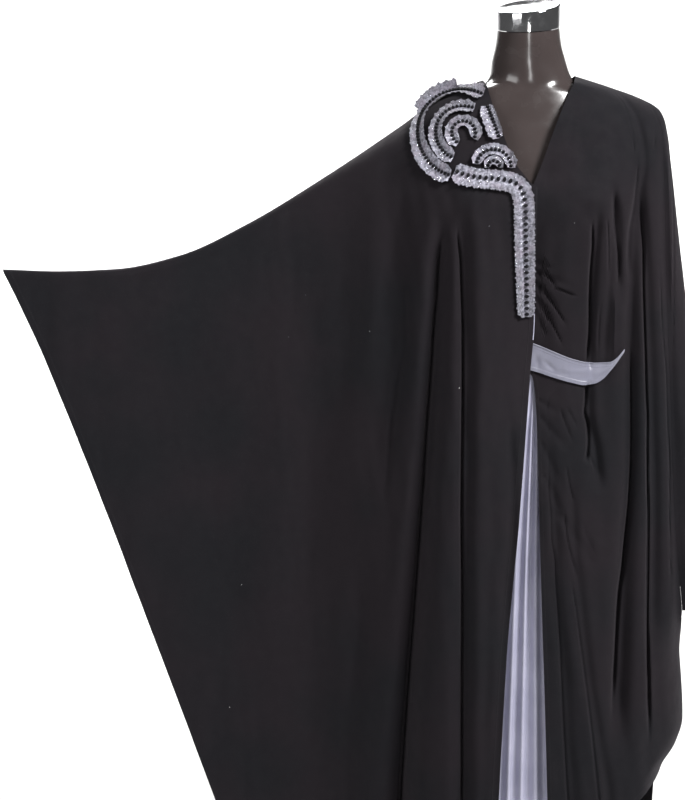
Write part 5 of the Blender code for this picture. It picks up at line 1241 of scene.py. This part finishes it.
class Finish:
    """A material built node by node on its Principled shader."""

    def __init__(self, name, **settings):
        self.material = bpy.data.materials.new(name)
        self.material.use_nodes = True
        self.tree = self.material.node_tree
        self.shader = self.tree.nodes["Principled BSDF"]
        for key, value in settings.items():
            self.put(self.shader.inputs[key.replace("_", " ")], value)

    def put(self, socket, value):
        """A number or colour set on a socket, or another node's output linked to it."""
        if isinstance(value, bpy.types.NodeSocket):
            self.tree.links.new(value, socket)
        else:
            socket.default_value = (*value, 1.0) if socket.type == "RGBA" else value

    def node(self, kind, inputs=(), **settings):
        """A node with its settings, and its (socket, value) inputs."""
        new_node = self.tree.nodes.new("ShaderNode" + kind)
        for key, value in settings.items():
            setattr(new_node, key, value)
        for key, value in inputs:
            self.put(new_node.inputs[key], value)
        return new_node

    def math(self, operation, *values):
        return self.node("Math", enumerate(values), operation=operation).outputs[0]

    def times(self, first, second):
        return self.math("MULTIPLY", first, second)

    def plus(self, first, *others):
        for other in others:
            first = self.math("ADD", first, other)
        return first

    def ramp(self, value, low, high, start=0.0, end=1.0):
        """A value's smooth rise from start to end between low and high."""
        numbers = enumerate((value, low, high, start, end))
        return self.node("MapRange", numbers, interpolation_type="SMOOTHSTEP").outputs[0]

    def mix(self, share, first, second):
        return self.node("Mix", ((0, share), (6, first), (7, second)), data_type="RGBA").outputs[2]

    def patches(self, value, low, high, first, second):
        """One colour that turns into another as a value rises between low and high."""
        return self.mix(self.ramp(value, low, high), first, second)

    def noise(self, scale, detail=2.0, roughness=0.5, where=None):
        where = where or self.node("TexCoord").outputs["Object"]
        inputs = (("Scale", scale), ("Detail", detail), ("Roughness", roughness), ("Vector", where))
        return self.node("TexNoise", inputs).outputs["Fac"]

    def cloth(self):
        """The cloth's own two directions, in metres."""
        uv = self.node("UVMap", uv_map="cloth").outputs["UV"]
        return uv, *self.node("SeparateXYZ", [(0, uv)]).outputs[:2]

    def wave(self, length, pitch):
        return self.math("SINE", self.times(length, 2 * math.pi / pitch))

    def weave(self, across_pitch, down_pitch, height):
        """Threads over and under each other at their real spacing."""
        _, across_cloth, down_cloth = self.cloth()
        threads = self.times(self.wave(across_cloth, across_pitch), self.wave(down_cloth, down_pitch))
        return self.times(threads, height)

    def stitches(self, off_edge, pitch, width):
        """A mask of a row of stitches along the sewn edges, and the raised band of the turned hem."""
        edge, run = (self.node("Attribute", attribute_name=key).outputs["Fac"] for key in ("edge", "run"))
        on_seam = self.math("COMPARE", edge, off_edge, width)
        step = self.math("FRACT", self.math("DIVIDE", run, pitch))
        dash = self.times(self.ramp(step, 0.02, 0.12), self.ramp(step, 0.62, 0.72, 1.0, 0.0))
        hem = self.ramp(edge, off_edge + 0.0012, off_edge + 0.0024, 1.0, 0.0)
        return self.times(on_seam, dash), hem, edge

    def done(self, colour, roughness, *heights, **others):
        """The finished material, with a bump whose height in metres is the sum of the heights."""
        for key, value in {"Base Color": colour, "Roughness": roughness, **others}.items():
            self.put(self.shader.inputs[key], value)
        if heights:
            inputs = (("Strength", 1.0), ("Distance", 1.0), ("Height", self.plus(*heights)))
            self.put(self.shader.inputs["Normal"], self.node("Bump", inputs).outputs["Normal"])
        return self.material


def black_cloth():
    """Matt black crepe: fine weave, slightly warm and cool patches, a soft nap, stitched hems, and a painted
    highlight along the sewn edges.
    """
    f = Finish(
        "black_crepe", Roughness=0.85, Specular_IOR_Level=0.07, Sheen_Weight=0.05, Sheen_Roughness=0.5,
        Sheen_Tint=(0.86, 0.76, 0.84),
    )
    warm = f.patches(f.noise(5.0, 3.0), 0.35, 0.65, (0.0078, 0.0078, 0.0094), (0.0110, 0.0090, 0.0110))
    flecked = f.mix(f.ramp(f.noise(420.0), 0.55, 0.80, 0.0, 0.5), warm, (0.017, 0.0155, 0.017))
    thread, hem, edge = f.stitches(0.0110, 0.0031, 0.00030)
    # Painted highlight: the colour lightens towards every sewn edge, as if the folded edge caught the light.
    painted_edge_highlight = f.mix(f.ramp(edge, 0.0, 0.0016, 0.45, 0.0), flecked, (0.034, 0.032, 0.035))
    colour = f.mix(f.times(thread, 0.8), painted_edge_highlight, (0.022, 0.021, 0.023))
    roughness = f.ramp(f.noise(60.0, 3.0), 0.3, 0.7, 0.76, 0.90)
    woven = (f.weave(0.00060, 0.00048, 0.00003), f.times(f.noise(1500.0, 1.0), 0.00005))
    limp = f.times(f.noise(38.0), 0.0006)
    return f.done(colour, roughness, *woven, limp, f.times(hem, 0.0004), f.times(thread, 0.00015))


def grey_satin(name, light, dark, painted_sheen_tone):
    """Lavender-grey satin: long floats down the cloth give streaks of roughness, and faint darker streaks
    painted into the colour are a painted sheen for its soft streaky shine.
    """
    f = Finish(
        name, Roughness=0.36, Specular_IOR_Level=0.55, Anisotropic=0.45,
        Sheen_Weight=0.08, Sheen_Roughness=0.3,
    )
    stretched = f.node("Mapping", (("Scale", (90.0, 3.0, 1.0)), ("Vector", f.cloth()[0])))
    streak = f.noise(1.0, 3.0, where=stretched.outputs[0])
    base = f.patches(f.noise(16.0), 0.35, 0.65, light, dark)
    # Painted sheen: the colour darkens along the streaks, standing in for the satin's streaky shine.
    with_painted_sheen = f.mix(f.ramp(streak, 0.40, 0.70, 0.0, 0.16), base, painted_sheen_tone)
    thread, hem, _ = f.stitches(0.0040, 0.0028, 0.00022)
    colour = f.mix(f.times(thread, 0.5), with_painted_sheen, (0.30, 0.30, 0.38))
    roughness = f.ramp(streak, 0.3, 0.7, 0.30, 0.44)
    woven = (f.weave(0.00030, 0.00090, 0.000012), f.times(f.noise(90.0), 0.00025))
    return f.done(colour, roughness, *woven, f.times(hem, 0.0003), f.times(thread, -0.0002))


def silver_ribbon():
    """Crimped lavender-silver ribbon with a fine glitter and small gathers across it."""
    f = Finish(
        "silver_ribbon_crimped", Roughness=0.5, Metallic=0.0, Specular_IOR_Level=0.5,
        Sheen_Weight=0.25, Sheen_Roughness=0.4,
    )
    where = f.node("TexCoord").outputs["Object"]
    cells = f.node("TexVoronoi", (("Scale", 1500.0), ("Vector", where)), feature="F1").outputs["Color"]
    chance, lift, _ = f.node("SeparateColor", [(0, cells)]).outputs
    glitter = f.ramp(chance, 0.92, 0.94)
    base = f.patches(f.noise(240.0, 3.0, 0.65), 0.36, 0.64, (0.095, 0.093, 0.12), (0.38, 0.375, 0.45))
    tinted = f.mix(f.ramp(f.noise(55.0, 1.0), 0.45, 0.7, 0.0, 0.5), base, (0.27, 0.23, 0.29))
    colour = f.mix(glitter, tinted, (0.70, 0.70, 0.78))
    roughness = f.ramp(chance, 0.92, 0.94, 0.60, 0.25)
    along = f.plus(f.cloth()[1], f.times(f.noise(160.0, 1.0), 0.0030))
    heights = (f.times(f.wave(along, 0.0021), 0.00022), f.times(lift, 0.00006))
    return f.done(colour, roughness, *heights, Metallic=glitter)


def black_bead():
    f = Finish("black_glass_bead", Roughness=0.40, Specular_IOR_Level=0.14)
    colour = f.patches(f.noise(300.0, 1.0), 0.4, 0.6, (0.004, 0.004, 0.005), (0.012, 0.011, 0.014))
    return f.done(colour, f.ramp(f.noise(900.0, 1.0), 0.4, 0.7, 0.32, 0.48))


def crystal():
    f = Finish("foiled_crystal", Metallic=1.0, Roughness=0.05, Coat_Weight=1.0, Coat_Roughness=0.02)
    colour = f.patches(f.noise(1800.0, 0.0), 0.4, 0.6, (0.70, 0.76, 0.86), (0.98, 0.96, 0.92))
    return f.done(colour, f.ramp(f.noise(2500.0, 0.0), 0.4, 0.6, 0.03, 0.10))


def form_gloss():
    """Black lacquer on the form, with the slight waviness and dust of a display form."""
    f = Finish("form_lacquer", Roughness=0.34, Coat_Weight=0.6, Coat_Roughness=0.15, Specular_IOR_Level=0.2)
    colour = f.patches(f.noise(7.0), 0.35, 0.65, (0.036, 0.028, 0.027), (0.048, 0.038, 0.037))
    roughness = f.ramp(f.noise(40.0, 4.0), 0.35, 0.75, 0.18, 0.32)
    return f.done(colour, roughness, f.times(f.noise(26.0, 1.0), 0.00025))


def chrome():
    """Polished chrome with faint wiping marks."""
    f = Finish("polished_chrome", Metallic=1.0, Roughness=0.08)
    marks = f.noise(30.0, 4.0, 0.7)
    colour = f.patches(marks, 0.3, 0.7, (0.74, 0.74, 0.76), (0.82, 0.82, 0.84))
    return f.done(colour, f.ramp(marks, 0.35, 0.75, 0.05, 0.15), f.times(f.noise(600.0), 0.000004))


def studio():
    """A pale floor that bends up into a wall, soft lights, and the camera at the photo's angle."""
    scene = bpy.context.scene
    world = bpy.data.worlds.new("studio")
    world.use_nodes = True
    sky = world.node_tree.nodes["Background"]
    sky.inputs["Color"].default_value = WORLD_COLOUR
    sky.inputs["Strength"].default_value = WORLD_STRENGTH
    scene.world = world
    turn = np.linspace(0, np.pi / 2, 24)
    bend = zip(WALL_Y - WALL_BEND + WALL_BEND * np.sin(turn), WALL_BEND - WALL_BEND * np.cos(turn))
    profile = [(-FLOOR, 0.0), *bend, (WALL_Y, WALL_HEIGHT)]
    points = [(x, y, z) for y, z in profile for x in (-FLOOR, FLOOR)]
    mesh = bpy.data.meshes.new("floor")
    mesh.from_pydata(points, [], [(2 * k, 2 * k + 1, 2 * k + 3, 2 * k + 2) for k in range(len(profile) - 1)])
    mesh.shade_smooth()
    floor = added("floor", mesh)
    paper = Finish("pale_floor")
    colour = paper.patches(paper.noise(3.0), 0.3, 0.7, (0.80, 0.80, 0.80), (0.84, 0.84, 0.83))
    mesh.materials.append(paper.done(colour, 0.7))
    for lamp in LIGHTS:
        light = bpy.data.lights.new(lamp.name, "AREA")
        light.shape = "RECTANGLE"
        light.size, light.size_y = lamp.size
        light.energy = lamp.power
        hung = added(lamp.name, light)
        hung.location = lamp.place
        hung.rotation_euler = (Vector(lamp.aim) - Vector(lamp.place)).to_track_quat("-Z", "Y").to_euler()
    lens = bpy.data.cameras.new("camera")
    lens.lens = CAMERA_LENS
    lens.sensor_width = CAMERA_SENSOR
    camera = added("camera", lens)
    camera.location = CAMERA_PLACE
    camera.rotation_euler = (math.radians(90.0 - CAMERA_PITCH), 0.0, 0.0)
    scene.camera = camera
    scene.view_settings.view_transform = "Standard"


def main():
    finishes = {
        "black_cloth": black_cloth(),
        "inset_satin": grey_satin("inset_satin", *INSET_SATIN),
        # The belt's satin is a darker copy of the inset's: painted shade.
        "belt_painted_shade_satin": grey_satin("belt_painted_shade_satin", *BELT_PAINTED_SHADE_SATIN),
        "silver_ribbon": silver_ribbon(), "black_bead": black_bead(), "crystal": crystal(),
        "form_gloss": form_gloss(), "chrome": chrome(),
    }
    cloth = finishes["black_cloth"]
    dress_form(finishes)
    stand(finishes)
    right, left, front_seam, back_seam = fronts_and_back(cloth)
    hanging_wing("wing_left_front", left_depth, front_seam, "front", cloth)
    hanging_wing("wing_left_back", back_depth, back_seam, "back", cloth)
    inset(finishes["inset_satin"])
    belt(left, finishes["belt_painted_shade_satin"])
    painted_highlight_cord(right, finishes["inset_satin"])
    ruffles(right, finishes)
    crystals("crystals_right", CRYSTALS_RIGHT, right, finishes["crystal"])
    crystals("crystals_left", CRYSTALS_LEFT, left, finishes["crystal"])
    studio()


main()
